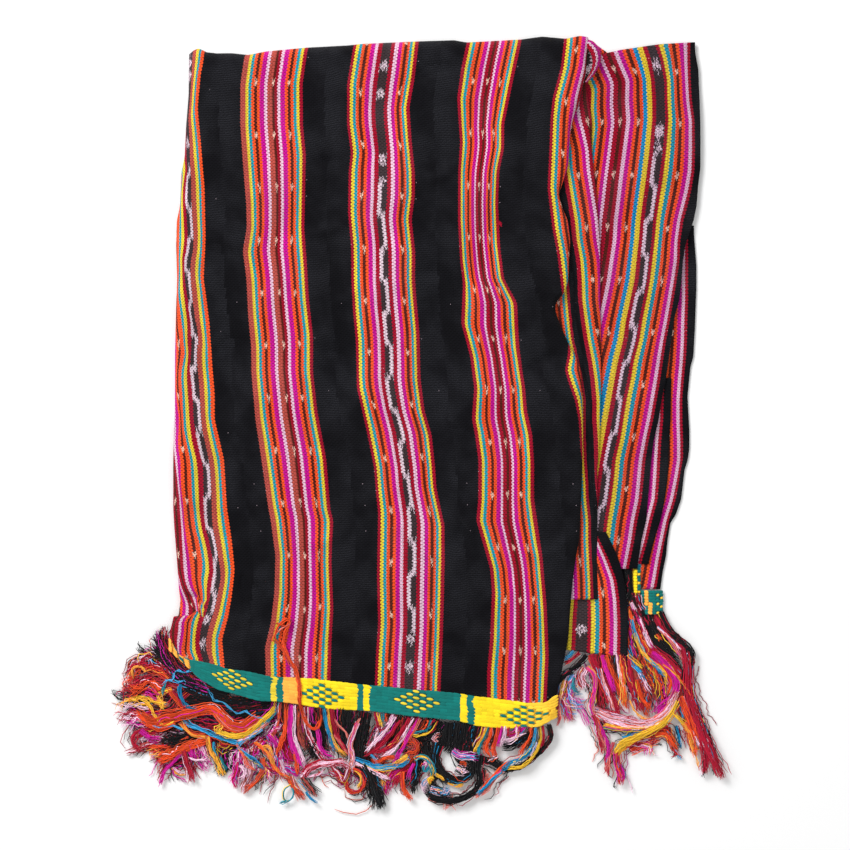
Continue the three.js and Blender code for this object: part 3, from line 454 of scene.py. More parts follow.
# ---------- shader nodes ----------
class Shades:
    """Short ways to add and join the shader nodes of one material or group."""

    def __init__(self, tree):
        self.tree = tree

    def put(self, socket, value):
        if isinstance(value, bpy.types.NodeSocket):
            self.tree.links.new(value, socket)
        else:
            socket.default_value = value

    def node(self, kind, inputs=(), **settings):
        made = self.tree.nodes.new(kind)
        for name, value in settings.items():
            setattr(made, name, value)
        for name, value in dict(inputs).items():
            self.put(made.inputs[name], value)
        return made

    def maths(self, operation, *values, clamp=False):
        return self.node("ShaderNodeMath", enumerate(values), operation=operation, use_clamp=clamp).outputs[0]

    def times(self, first, second, clamp=False):
        return self.maths("MULTIPLY", first, second, clamp=clamp)

    def plus(self, first, second):
        return self.maths("ADD", first, second)

    def minus(self, first, second):
        return self.maths("SUBTRACT", first, second)

    def over(self, first, second):
        return self.maths("DIVIDE", first, second)

    def size(self, value):
        return self.maths("ABSOLUTE", value)

    def part(self, value):
        return self.maths("FRACT", value)

    def blend(self, share, first, second, kind="MIX"):
        made = self.node("ShaderNodeMix", data_type="RGBA", blend_type=kind, clamp_factor=True)
        for index, value in ((0, share), (6, first), (7, second)):
            self.put(made.inputs[index], value)
        return made.outputs[2]

    def vector(self, x, y, z=0.0):
        return self.node("ShaderNodeCombineXYZ", {"X": x, "Y": y, "Z": z}).outputs[0]

    def noise(self, vector, scale, detail):
        inputs = {"Vector": vector, "Scale": scale, "Detail": detail}
        return self.node("ShaderNodeTexNoise", inputs).outputs["Fac"]

    def between(self, value, low, high):
        """0 below `low`, 1 above `high`, eased between them."""
        made = self.node("ShaderNodeMapRange", interpolation_type="SMOOTHSTEP")
        for index, item in enumerate((value, low, high, 0.0, 1.0)):
            self.put(made.inputs[index], item)
        return made.outputs[0]


def new_group(name, inputs, outputs, build):
    """A shader node group. `build` gets the tools and the inputs, and gives a value for each output."""
    tree = bpy.data.node_groups.new(name, "ShaderNodeTree")
    for label, start in inputs:
        socket = tree.interface.new_socket(label, in_out="INPUT", socket_type="NodeSocketFloat")
        socket.default_value = start
    for label in outputs:
        tree.interface.new_socket(label, in_out="OUTPUT", socket_type="NodeSocketFloat")
    shades = Shades(tree)
    source = shades.node("NodeGroupInput")
    made = build(shades, {socket.name: socket for socket in source.outputs if socket.name})
    target = shades.node("NodeGroupOutput")
    for label, value in made.items():
        shades.put(target.inputs[label], value)
    return tree


def weft_ribs(shades, given):
    """Beads of warp yarn between the picks: every end shows over every other pick, its neighbours over the
    picks between, so that the edge of a stripe runs in a zigzag."""
    def swing(value):
        return shades.size(shades.minus(shades.times(value, 2.0), 1.0))

    sway = shades.times(shades.noise(shades.vector(given["Across"], given["Along"]), 0.03, 1.0), 4.0)
    picks = shades.over(shades.plus(given["Along"], sway), given["Pitch"])
    pairs = shades.times(picks, 0.5)
    ends = shades.over(given["Across"], given["End pitch"])
    stagger = shades.times(shades.maths("FLOORED_MODULO", shades.maths("FLOOR", ends), 2.0), 0.5)
    length = swing(shades.part(shades.plus(pairs, stagger)))
    width = swing(shades.part(ends))
    height = shades.minus(1.0, shades.maths("POWER", length, 2.0))
    side = shades.minus(1.0, shades.times(shades.maths("POWER", width, 3.0), 0.4))
    rib = shades.minus(1.0, shades.maths("POWER", swing(shades.part(picks)), 2.0))
    zigzag = shades.minus(swing(shades.part(pairs)), 0.5)
    return {"Height": shades.times(height, side), "Rib": rib, "Shift": zigzag}


def yarn_tone(shades, given):
    """Light and dark warp ends, in long streaks, with a slower change over the whole cloth."""
    across = shades.times(given["Across"], 0.9)
    along = shades.times(given["Along"], 0.035)
    streak = shades.noise(shades.vector(across, along), 1.0, 2.0)
    grain = shades.noise(shades.vector(given["Across"], given["Along"]), 0.75, 3.0)
    slow = shades.noise(shades.vector(given["Across"], given["Along"]), 0.012, 2.0)
    total = shades.plus(shades.times(streak, 0.45), shades.times(grain, 0.35))
    total = shades.plus(total, shades.times(slow, 0.2))
    spread = shades.times(shades.minus(total, 0.5), given["Amount"])
    return {"Tone": shades.plus(1.0, spread)}


def slipped(shades, given, amount):
    """The place along the warp, each end slipped a little, as tied and dyed ends lie."""
    end = shades.maths("FLOOR", shades.over(given["Across"], 0.5 * YARN_PITCH))
    near = shades.noise(shades.vector(end, shades.times(given["Along"], 0.02)), 0.83, 1.0)
    slip = shades.times(shades.minus(near, 0.5), amount)
    return shades.plus(given["Along"], slip)


def ikat_flecks(shades, given):
    """Small crosses where a tie kept the dye out of a dark line, one to each period."""
    local = shades.over(shades.minus(given["Across"], given["Centre"]), given["Half width"])
    along = slipped(shades, given, 22.0)
    steps = shades.over(shades.minus(along, given["Start"]), given["Period"])
    part = shades.minus(shades.part(steps), 0.5)
    place = shades.over(shades.times(part, given["Period"]), given["Length"])
    inside = shades.maths("LESS_THAN", shades.size(local), 1.0)
    near = shades.maths("LESS_THAN", shades.size(place), 1.0)
    arms = shades.plus(shades.size(local), place)
    cross = shades.maths("LESS_THAN", shades.size(arms), 0.55)
    return {"Mask": shades.times(shades.times(inside, near), cross)}


BLOTS = ("Blot A", "Blot B", "Blot C", "Blot D", "Blot E")


def ikat_meander(shades, given):
    """A bleached line that runs down one side of a wide dark stripe, then crosses to the other side. Above
    the place where it begins and below its end there are only a few blots."""
    local = shades.over(shades.minus(given["Across"], given["Centre"]), given["Half width"])
    along = slipped(shades, given, 34.0)
    run = shades.minus(along, given["Start"])
    part = shades.part(shades.over(run, given["Period"]))
    swing = shades.minus(shades.size(shades.minus(part, 0.5)), 0.25)
    side = shades.times(swing, 16.0)
    side = shades.maths("MINIMUM", shades.maths("MAXIMUM", side, -0.58), 0.58)
    away = shades.size(shades.minus(local, side))
    crossing = shades.between(shades.size(swing), 0.07, 0.0)
    width = shades.plus(0.38, shades.times(crossing, 0.34))
    ragged = shades.noise(shades.vector(shades.times(given["Across"], 1.6),
                                        shades.times(along, 0.3)), 1.0, 2.0)
    width = shades.plus(width, shades.times(shades.minus(ragged, 0.5), 1.1))
    showing = shades.times(shades.maths("GREATER_THAN", along, given["From"]),
                           shades.maths("LESS_THAN", along, given["Until"]))
    line = shades.times(shades.maths("LESS_THAN", away, width), showing)
    blots = 0.0
    for name in BLOTS:
        far = shades.over(shades.minus(along, given[name]), 6.0)
        ring = shades.plus(shades.size(local), shades.size(far))
        ring = shades.plus(ring, shades.times(shades.minus(ragged, 0.5), 1.6))
        spot = shades.times(shades.maths("LESS_THAN", ring, 1.1), shades.maths("GREATER_THAN", ring, 0.4))
        blots = shades.maths("MAXIMUM", blots, spot)
    inside = shades.maths("LESS_THAN", shades.size(local), 1.0)
    return {"Mask": shades.times(shades.maths("MAXIMUM", line, blots), inside, clamp=True)}


def lint_specks(shades, given):
    """Tiny pale specks of lint, far apart."""
    vector = shades.vector(given["Across"], given["Along"])
    inputs = {"Vector": vector, "Scale": given["Scale"]}
    cells = shades.node("ShaderNodeTexVoronoi", inputs, voronoi_dimensions="2D")
    near = shades.maths("LESS_THAN", cells.outputs["Distance"], given["Size"])
    chance = shades.node("ShaderNodeSeparateXYZ", {"Vector": cells.outputs["Color"]}).outputs["X"]
    return {"Mask": shades.times(near, shades.maths("LESS_THAN", chance, given["Share"]))}


# The inputs of the groups with their defaults, mm.
PLACE = [("Across", 0.0), ("Along", 0.0)]
STRIPE = PLACE + [("Centre", 0.0), ("Half width", 2.0)]
RIB_SIZES = [("Pitch", RIB_PITCH), ("End pitch", 2.0 * YARN_PITCH)]
FLECK_SIZES = [("Period", 71.0), ("Start", 0.0), ("Length", 6.0)]
MEANDER_SIZES = [("Period", 88.8), ("Start", 0.0), ("From", 0.0), ("Until", 0.0)]
MEANDER_SIZES += [(blot, 0.0) for blot in BLOTS]
LINT_SIZES = [("Scale", 0.1), ("Size", 0.05), ("Share", 0.2)]
GROUPS = {
    "ribs": new_group("Weft ribs", PLACE + RIB_SIZES, ["Height", "Rib", "Shift"], weft_ribs),
    "tone": new_group("Yarn tone", PLACE + [("Amount", 0.5)], ["Tone"], yarn_tone),
    "flecks": new_group("Ikat flecks", STRIPE + FLECK_SIZES, ["Mask"], ikat_flecks),
    "meander": new_group("Ikat meander", STRIPE + MEANDER_SIZES, ["Mask"], ikat_meander),
    "lint": new_group("Lint specks", PLACE + LINT_SIZES, ["Mask"], lint_specks),
}


def placed_group(shades, name, **inputs):
    """A node group in a material, its inputs named with _ for a space."""
    made = shades.node("ShaderNodeGroup", node_tree=GROUPS[name])
    for label, value in inputs.items():
        shades.put(made.inputs[label.replace("_", " ")], value)
    return made.outputs


def new_material(name, roughness, specular, sheen):
    material = bpy.data.materials.new(name)
    material.use_nodes = True
    shades = Shades(material.node_tree)
    shader = material.node_tree.nodes["Principled BSDF"]
    shader.inputs["Roughness"].default_value = roughness
    shader.inputs["Specular IOR Level"].default_value = specular
    shader.inputs["Sheen Weight"].default_value = sheen
    shader.inputs["Sheen Roughness"].default_value = 0.6
    return material, shades, shader


def cloth_place(shades):
    """The two cloth coordinates in mm: across from the band's left edge, and along the warp."""
    place = shades.node("ShaderNodeUVMap", uv_map="cloth").outputs[0]
    parts = shades.node("ShaderNodeSeparateXYZ", {"Vector": place})
    return [shades.times(parts.outputs[axis], 1 / MM) for axis in ("X", "Y")]


def stripe_ramp(shades, across, stripes, width):
    """The colours of a band's stripes, one hard-edged stop to each, with black on both sides."""
    margin = 60.0
    whole = width + 2 * margin
    share = shades.over(shades.plus(across, margin), whole)
    ramp = shades.node("ShaderNodeValToRGB", {"Fac": share})
    ramp.color_ramp.interpolation = "CONSTANT"
    stops = ramp.color_ramp.elements
    stops[0].position, stops[0].color = 0.0, linear("black")
    places = (edges_of(stripes, width) + margin) / whole
    names = [name for name, _ in stripes] + ["black"]
    stops[1].position, stops[1].color = places[0], linear(names[0])
    for place, name in zip(places[1:], names[1:]):
        stops.new(place).color = linear(name)
    return ramp.outputs["Color"]


# The tied and dyed lines of each band, mm along the warp: where the flecks of its narrow dark lines begin.
FLECK_START = {
    "left_border": 33.0, "brick_band": 34.8, "ikat_band": 44.0, "fleck_band": 24.0, "right_border": 16.6,
}
# The meander of a band's wide dark stripe: phase, period, where it begins and ends, the blots past its ends.
MEANDERS = {
    "left_border": (21.6, 86.7, -316.0, 286.0, -438.0, -346.0, -455.0, 297.0, 331.0),
    "ikat_band": (-231.2, 88.8, -300.0, 316.0, -454.0, -417.0, -330.0, 325.0, 362.0),
    "right_border": (-172.0, 97.0, -330.0, 240.0, -455.0, -368.0, -362.0, -341.0, 311.0),
}

# How the weave shows in the cloth's colour, with painted shade between its beads and painted sheen on its
# fuzz.
SIDE_STEP = 1.05 * YARN_PITCH  # how far the picks push a stripe's edge from side to side, mm
FLECK_STRENGTH, MEANDER_STRENGTH, LINT_STRENGTH = 0.78, 0.84, 0.4
TONE_AMOUNT = 2.2
DEEPEST_WEAVE_SHADE, HOLLOW_SHADE, RELIEF_SHADE = 0.1, 0.4, 0.55  # painted shade of the weave: the least colour left, the colour left at the bottom of the weave, and its rise
# Grey fuzz of loose fibres, partly real and partly painted light: a painted highlight on the rib tops, and
# painted sheen in slow patches.
FUZZ_LEAST, RIB_TOP_HIGHLIGHT = 0.2, 1.8
LEAST_FUZZ_SHEEN, PATCHY_FUZZ_SHEEN = 0.002, 0.078  # how much the fuzz and its painted sheen show: everywhere, and more in slow patches
FUZZ_AND_SHEEN_COLOUR = (0.30, 0.31, 0.37, 1.0)
LOWER_SHADE_COLOUR = (0.78, 0.7, 0.8, 1.0)  # painted shade on the lower layers: what their colour is multiplied with, darker and more magenta


def striped_cloth(name, stripes, width):
    """Warp-faced cloth with this band of stripes on a black ground."""
    material, shades, shader = new_material(name, 0.92, 0.1, 0.02)
    across, along = cloth_place(shades)
    ribs = placed_group(shades, "ribs", Across=across, Along=along)
    shifted = shades.plus(across, shades.times(ribs["Shift"], SIDE_STEP))
    colour = stripe_ramp(shades, shifted, stripes, width)
    edges = edges_of(stripes, width)
    for index, (stripe, _) in enumerate(stripes):
        middle, half = (edges[index] + edges[index + 1]) / 2, (edges[index + 1] - edges[index]) / 2
        if stripe == "brown":
            fleck = placed_group(shades, "flecks", Across=shifted, Along=along, Centre=middle,
                                 Half_width=half + 0.2, Start=FLECK_START[name])
            colour = shades.blend(shades.times(fleck["Mask"], FLECK_STRENGTH), colour, linear("fleck"))
        if stripe == "charcoal" and name in MEANDERS:
            start, period, begin, end, *places = MEANDERS[name]
            blots = {blot.replace(" ", "_"): place for blot, place in zip(BLOTS, places)}
            line = placed_group(
                shades, "meander", Across=shifted, Along=along, Centre=middle, Half_width=half,
                Start=start, Period=period, From=begin, Until=end, **blots)
            colour = shades.blend(shades.times(line["Mask"], MEANDER_STRENGTH), colour, linear("bleached"))
    # Painted shade on the lower layers, darker and more magenta, to the share in their own attribute.
    depth = shades.node("ShaderNodeAttribute", attribute_name="depth_of_colour").outputs["Fac"]
    colour = shades.blend(depth, colour, LOWER_SHADE_COLOUR, "MULTIPLY")
    tone = placed_group(shades, "tone", Across=across, Along=along, Amount=TONE_AMOUNT)["Tone"]
    relief = shades.plus(ribs["Height"], shades.times(ribs["Rib"], 0.5))
    # Painted shade: the colour is darker where the weave's relief is low, between the beads and the picks.
    shadow = shades.plus(HOLLOW_SHADE, shades.times(relief, RELIEF_SHADE))
    shadow = shades.maths("MAXIMUM", DEEPEST_WEAVE_SHADE, shadow)
    colour = shades.blend(1.0, colour, shades.times(tone, shadow), "MULTIPLY")
    # Grey fuzz, partly real fibres and partly painted sheen: a painted highlight on the rib tops, and painted
    # sheen in slow patches.
    fuzz = shades.noise(shades.vector(across, along), 1.9, 3.0)
    rib_top_highlight = shades.times(shades.maths("POWER", ribs["Rib"], 2.0), RIB_TOP_HIGHLIGHT)
    fuzz = shades.times(shades.between(fuzz, 0.4, 0.7), shades.plus(FUZZ_LEAST, rib_top_highlight))
    sheen_patches = shades.between(shades.noise(shades.vector(across, along), 0.015, 3.0), 0.34, 0.68)
    sheen_patches = shades.plus(LEAST_FUZZ_SHEEN, shades.times(sheen_patches, PATCHY_FUZZ_SHEEN))
    colour = shades.blend(shades.times(fuzz, sheen_patches), colour, FUZZ_AND_SHEEN_COLOUR)
    lint = placed_group(shades, "lint", Across=across, Along=along, Scale=0.055, Size=0.03, Share=0.08)
    colour = shades.blend(shades.times(lint["Mask"], LINT_STRENGTH), colour, linear("bleached"))
    shades.put(shader.inputs["Base Color"], colour)
    bump = shades.node("ShaderNodeBump", {"Height": relief, "Strength": 0.8, "Distance": 0.0006})
    shades.put(shader.inputs["Normal"], bump.outputs["Normal"])
    return material


def coloured_yarn(name, roughness=0.82):
    """Yarn that takes its colour from the piece's own attribute, with plies and a little unevenness."""
    material, shades, shader = new_material(name, roughness, 0.2, 0.06)
    colour = shades.node("ShaderNodeAttribute", attribute_name="yarn_colour").outputs["Color"]
    place = shades.node("ShaderNodeTexCoord").outputs["Object"]
    fuzz = shades.noise(place, 900.0, 3.0)
    slow = shades.noise(place, 60.0, 2.0)
    spread = shades.plus(shades.times(fuzz, 0.55), shades.times(slow, 0.35))
    colour = shades.blend(1.0, colour, shades.plus(0.66, spread), "MULTIPLY")
    shades.put(shader.inputs["Base Color"], colour)
    bump = shades.node("ShaderNodeBump", {"Height": fuzz, "Strength": 0.4, "Distance": 0.0003})
    shades.put(shader.inputs["Normal"], bump.outputs["Normal"])
    return material


CLOTHS = [striped_cloth(name, *STRIPES[name]) for name in WEAVES]
FRINGE_YARN = coloured_yarn("fringe_yarn")
BAND_YARN = coloured_yarn("twined_yarn", 0.75)


# ---------- cloth pieces ----------
def finish_piece(piece, nodes):
    """Every piece lies still with the cloth and stands for its own nodes."""
    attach(piece, "root")
    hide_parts(*nodes)
    return piece


def new_piece(name, vertices, faces, materials):
    """An object of this mesh, vertices in mm, at the origin."""
    mesh = bpy.data.meshes.new(name)
    mesh.from_pydata([tuple(point) for point in np.asarray(vertices) * MM], [], faces)
    mesh.polygons.foreach_set("use_smooth", [True] * len(mesh.polygons))
    for material in materials:
        mesh.materials.append(material)
    piece = bpy.data.objects.new(name, mesh)
    bpy.context.scene.collection.objects.link(piece)
    return piece


def shares(length, middle_steps, run_at_start=0.0, run_at_end=0.0, round_steps=8):
    """Shares from 0 to 1 of a length in mm, closer together over a rounded edge at either end."""
    arc = 1.0 - np.cos(np.linspace(0.0, np.pi / 2, round_steps, endpoint=False))
    start = arc * run_at_start / length if run_at_start else []
    end = 1.0 - arc[::-1] * run_at_end / length if run_at_end else []
    middle = np.linspace(run_at_start / length, 1.0 - run_at_end / length, middle_steps + 1)
    return np.concatenate([start, middle, end])


def plan_grid(across, along, left, right, head, foot):
    """Points of a layer over the plan: rows run from head to foot, columns from left to right."""
    u, v = np.meshgrid(across, along)
    x, y = mix(left(0.0), right(0.0), u), np.zeros_like(u)
    for _ in range(8):
        y = mix(head(x), foot(x), v)
        x = mix(left(y), right(y), u)
    return x, y


def warp_place(x, y, z, knots):
    """Cloth coordinates of a grid in mm. `knots` pairs a stripe line with its place across the cloth, and
    between them the cloth follows the surface."""
    steps = np.sqrt(np.diff(x, axis=1) ** 2 + np.diff(y, axis=1) ** 2 + np.diff(z, axis=1) ** 2)
    run = np.concatenate([np.zeros((len(x), 1)), np.cumsum(steps, axis=1)], axis=1)
    across = np.empty_like(x)
    for row in range(len(x)):
        places, values = [], []
        for line, value in knots:
            ahead = x[row] - line(y[row])
            if ahead[0] > 0:
                place = run[row][0] - ahead[0]
            elif ahead[-1] < 0:
                place = run[row][-1] - ahead[-1]
            else:
                place = np.interp(0.0, ahead, run[row])
            places.append(place)
            values.append(value)
        here = np.interp(run[row], places, values)
        here = np.where(run[row] < places[0], values[0] + run[row] - places[0], here)
        across[row] = np.where(run[row] > places[-1], values[-1] + run[row] - places[-1], here)
    drops = np.sqrt(np.diff(x, axis=0) ** 2 + np.diff(y, axis=0) ** 2 + np.diff(z, axis=0) ** 2)
    along = np.concatenate([np.zeros((1, x.shape[1])), np.cumsum(drops, axis=0)], axis=0)
    middle = np.argmin(np.abs(y), axis=0)
    start = along[middle, np.arange(x.shape[1])] + y[middle, np.arange(x.shape[1])]
    return across, along - start


def colour_by_band(piece, faces, across, along):
    """Gives each face the weave that it lies in, and its place in that weave as the UV map."""
    borders = [start - GROUND_WIDTH / 2 for _, start in BANDS[1:]]
    band = np.digitize(across[faces].mean(axis=1), borders)
    starts = np.array([start for _, start in BANDS])
    weave = np.array([WEAVES.index(name) for name, _ in BANDS])
    piece.data.polygons.foreach_set("material_index", weave[band])
    layer = piece.data.uv_layers.new(name="cloth")
    places = np.stack([across[faces] - starts[band][:, None], along[faces]], axis=-1) * MM
    layer.data.foreach_set("uv", places.reshape(-1))


def quads_of(shape, first=0):
    """The faces of a grid of points, from the number of its first point."""
    corner = first + np.arange(shape[0] * shape[1]).reshape(shape)
    quads = [corner[:-1, :-1], corner[1:, :-1], corner[1:, 1:], corner[:-1, 1:]]
    return np.stack(quads, axis=-1).reshape(-1, 4)


def woven_piece(name, layers):
    """Cloth from grids of points on its upper face, each with the stripe lines that it follows."""
    vertices, faces, places = [], [], []
    for x, y, z, knots in layers:
        faces.append(quads_of(x.shape, sum(map(len, vertices))))
        vertices.append(np.stack([x, y, z], axis=-1).reshape(-1, 3))
        place = knots if isinstance(knots, tuple) else warp_place(x, y, z, knots)
        places.append(np.stack(place, axis=-1).reshape(-1, 2))
    vertices, faces, places = np.concatenate(vertices), np.concatenate(faces), np.concatenate(places)
    piece = new_piece(name, vertices, faces.tolist(), CLOTHS)
    colour_by_band(piece, faces, places[:, 0], places[:, 1])
    thicken(piece, WALL)
    return piece


def paint_lower_shade(piece, share):
    """Painted shade on a layer that lies lower, under the top layer: its colour is multiplied darker and more
    magenta, to this share.
    """
    depth = piece.data.attributes.new("depth_of_colour", "FLOAT", "POINT")
    depth.data.foreach_set("value", [share] * len(piece.data.vertices))


def thicken(piece, wall):
    """Gives a sheet its wall, below the face that it was drawn on."""
    modifier = piece.modifiers.new("wall", "SOLIDIFY")
    modifier.thickness = wall * MM
    modifier.offset = -1.0


def weld(piece, distance):
    """Joins the points of a mesh that lie together, in mm."""
    shape = bmesh.new()
    shape.from_mesh(piece.data)
    bmesh.ops.remove_doubles(shape, verts=shape.verts, dist=distance * MM)
    shape.to_mesh(piece.data)
    shape.free()


KNOTS = {
    "front": [
        ("border_white", LEFT_EDGES[11]), ("border_orange", LEFT_EDGES[13]), ("border_blue", LEFT_EDGES[16]),
        ("border_yellow", LEFT_EDGES[18]), ("border_ikat_left", LEFT_EDGES[19]),
        ("border_ikat_right", LEFT_EDGES[20]), ("band_1_right", BORDER_WIDTH),
        ("band_2_left", BANDS[1][1]), ("band_2_right", BANDS[1][1] + BAND_WIDTH),
        ("band_3_left", BANDS[2][1]), ("band_3_right", BANDS[2][1] + BAND_WIDTH),
        ("band_4_left", BANDS[3][1]), ("band_4_right", BANDS[3][1] + BAND_WIDTH),
        ("band_5_left", BANDS[4][1]),
    ],
    "tuck": [
        ("tuck_white", LEFT_EDGES[11]), ("tuck_orange", LEFT_EDGES[13]), ("tuck_blue", LEFT_EDGES[16]),
        ("tuck_yellow", LEFT_EDGES[18]), ("border_ikat_left", LEFT_EDGES[19]),
        ("border_ikat_right", LEFT_EDGES[20]), ("band_1_right", BORDER_WIDTH),
    ],
    "inner": [("inner_band_right", BANDS[4][1] + BAND_WIDTH), ("inner_border_left", BANDS[5][1])],
    "back": [
        ("back_magenta", BORDER_EDGES[12]), ("back_ikat_left", BORDER_EDGES[19]),
        ("back_ikat_right", BORDER_EDGES[20]), ("back_selvedge", BORDER_EDGES[-1]),
        ("back_right", CLOTH_EDGE),
    ],
    "flap": [
        ("flap_ikat_left", BORDER_EDGES[19]), ("flap_ikat_right", BORDER_EDGES[20]),
        ("flap_selvedge", BORDER_EDGES[-1]), ("flap_right", CLOTH_EDGE),
    ],
    "strip": [("strip_crimson", BORDER_EDGES[-1])],
    "outer": [("outer_crimson", BORDER_EDGES[-1]), ("outer_right", CLOTH_EDGE)],
}


def knots_of(name):
    return [(LINE[line], place) for line, place in KNOTS[name]]


def level_plane(height):
    return lambda x, y: np.full_like(x, height)


# How far a layer reaches in under the one above it.
INNER_HIDDEN, BACK_HIDDEN, STRIP_HIDDEN = 16.0, 12.0, 12.0
INNER_HEAD, INNER_FOOT = 462.0, -269.0
BACK_FOOT, STRIP_HEAD, STRIP_FOOT = -228.0, 30.0, -222.0
SELVEDGE_HEAD, SELVEDGE_FOOT = 236.0, -256.0


def strip_inside(y):
    return np.minimum(LINE["back_right"](y), LINE["strip_right"](y)) - STRIP_HIDDEN


# Each showing stretch: its sides, head and foot, the shares of its grid, its height and its knots.
STRETCHES = {
    "front_panel": dict(
        left=LINE["left"], right=LINE["right"], head=head_of, foot=band_foot_of, height=front_height,
        across=shares(545, 150, ROLL_RUN, 9), along=shares(880, 235, ROLL_RUN), knots="front"),
    "inner_layer": dict(
        left=lambda y: LINE["right"](y) - INNER_HIDDEN, right=LINE["valley"],
        head=lambda x: INNER_HEAD + 0 * x, foot=lambda x: INNER_FOOT + 0 * x, height=inner_height,
        across=shares(60, 24, 0, 12), along=shares(735, 200, 8), knots="inner"),
    "back_panel": dict(
        left=lambda y: LINE["valley"](y) - BACK_HIDDEN, right=LINE["back_right"],
        head=back_head_of, foot=lambda x: BACK_FOOT + 0 * x, height=back_height,
        across=shares(140, 44, 0, 14), along=shares(710, 195, 6), knots="back"),
    "lower_flap": dict(
        left=lambda y: mix(222.0, 225.0, np.clip(-y / 300, 0, 1)), right=LINE["flap_right"],
        head=lambda x: FLAP_HEAD + 0 * x, foot=flap_foot_of, height=flap_height,
        across=shares(80, 30), along=shares(150, 44), knots="flap"),
    "under_strip": dict(
        left=lambda y: LINE["back_right"](y) - STRIP_HIDDEN, right=LINE["strip_right"],
        head=lambda x: STRIP_HEAD + 0 * x, foot=lambda x: STRIP_FOOT + 0 * x, height=level_plane(STRIP_TOP),
        across=shares(30, 12), along=shares(250, 70), knots="strip"),
    "selvedge_strip": dict(
        left=strip_inside, right=LINE["outer_right"],
        head=lambda x: SELVEDGE_HEAD + 0 * x, foot=lambda x: SELVEDGE_FOOT + 0 * x,
        height=level_plane(SELVEDGE_TOP), across=shares(50, 16), along=shares(460, 130), knots="outer"),
}


# The tuck at the left side: the cloth below this edge laps over the cloth above it.
TUCK_HEAD = edge_curve([
    (-312, -297), (-306, -292.5), (-290, -290.5), (-282, -290), (-274, -283.5), (-268, -276), (-261, -267.5),
    (-252, -263), (-240, -262),
])
TUCK_LEFT = smooth_line(
    [(-262, -301), (-286, -301), (-293, -306), (-302, -308), (-324, -314), (-360, -314)], softness=3)
TUCK_RIGHT = -246.0
TUCK_RISE, TUCK_ROUND, TUCK_FADE, TUCK_MERGE = 1.7, 3.5, 30.0, 14.0  # mm; it merges at its right side


def tuck_height(x, y):
    away = TUCK_HEAD(x) - y
    lift = mix(-0.4, TUCK_RISE, quarter(away, TUCK_ROUND)) * np.exp(-((away / TUCK_FADE) ** 2)) + 0.15
    side = np.clip((TUCK_RIGHT - x) / TUCK_MERGE, 0, 1)
    return front_height(x, y) + mix(-0.8, lift, side)


def tuck():
    """The tuck's grid, its heights and the stripe lines that it follows."""
    x, y = plan_grid(shares(66, 40, 3), shares(70, 34, 3), TUCK_LEFT, lambda y: TUCK_RIGHT + 0 * y,
                     TUCK_HEAD, lambda x: band_top_of(x) - 3.0)
    return x, y, tuck_height(x, y), knots_of("tuck")


# The corner at the right end of the head curls over the edge.
CURL = [  # outer edge: x, y, z; inner edge: x, y, z
    (247, 488.0, 10, 244.5, 479.0, 20.0),
    (260, 485.5, 10, 251.0, 474.5, 20.5),
    (269, 476.0, 10, 257.0, 466.0, 20.5),
    (272, 462.0, 10, 259.5, 456.0, 20.5),
    (268, 448.0, 10, 258.0, 445.0, 20.0),
    (259, 435.0, 11, 253.5, 436.0, 19.0),
    (251, 427.0, 14, 248.5, 429.0, 17.0),
]
CURL_SWELL, CURL_SPAN = 3.6, 17.0  # how far it swells, and how much cloth lies from edge to edge
CURL_ROWS, CURL_COLUMNS = 45, 13
# The low sheet inside the curl that stands for its shade: its height and its left side.
HOLLOW_FLOOR, HOLLOW_LEFT = 15.4, 242.0


def curl_edges():
    """The curl's outer and inner edge with their corners eased."""
    stations = np.linspace(0, len(CURL) - 1, CURL_ROWS)
    window = np.hanning(CURL_ROWS // 5 + 2)[1:-1]
    eased = []
    for column in zip(*CURL):
        run = np.interp(stations, range(len(CURL)), column)
        run = np.pad(run, len(window) // 2, mode="reflect", reflect_type="odd")
        eased.append(np.convolve(run, window / window.sum(), "valid")[:CURL_ROWS, None])
    return eased


def curl():
    """The curl's grid, its heights and its place in the weave."""
    outer_x, outer_y, outer_z, inner_x, inner_y, inner_z = curl_edges()
    u = np.linspace(1, 0, CURL_COLUMNS)[None, :]
    x, y = mix(outer_x, inner_x, u), mix(outer_y, inner_y, u)
    z = mix(outer_z, inner_z, u ** 0.6) + CURL_SWELL * np.sin(np.pi * u)
    across = BORDER_EDGES[6] + CURL_SPAN * u + 0 * x
    steps = np.hypot(np.diff(inner_x, axis=0), np.diff(inner_y, axis=0))
    along = np.concatenate([[[0.0]], np.cumsum(steps, axis=0)]) + 0 * x
    return x, y, z, (across, along)


def curl_hollow_shade():
    """Painted shade inside the curl: a low sheet of the cloth's charcoal stripe, so that the hollow looks
    dark.
    """
    inner_x, inner_y = curl_edges()[3:5]
    u = np.linspace(0, 1, 7)[None, :]
    x = mix(HOLLOW_LEFT, inner_x + 1.5, u)
    y = inner_y + 0 * x
    across = BORDER_EDGES[19] + 0.3 + u * 8.0 + 0 * x
    return x, y, np.full_like(x, HOLLOW_FLOOR), (across, 200 - y)


def woven_stretch(name):
    """One showing stretch of the cloth, the top layer with its tuck and curl."""
    stretch = STRETCHES[name]
    x, y = plan_grid(*[stretch[part] for part in ("across", "along", "left", "right", "head", "foot")])
    layers = [(x, y, stretch["height"](x, y), knots_of(stretch["knots"]))]
    if name == "front_panel":
        layers += [tuck(), curl(), curl_hollow_shade()]
    return woven_piece(name + "_cloth", layers)


cloth = {name: finish_piece(woven_stretch(name), [name]) for name, slot in [
    ("front_panel", "striped_cloth"), ("inner_layer", "inner_cloth"), ("back_panel", "striped_cloth"),
    ("lower_flap", "striped_cloth"), ("under_strip", "inner_cloth"), ("selvedge_strip", "inner_cloth"),
]}

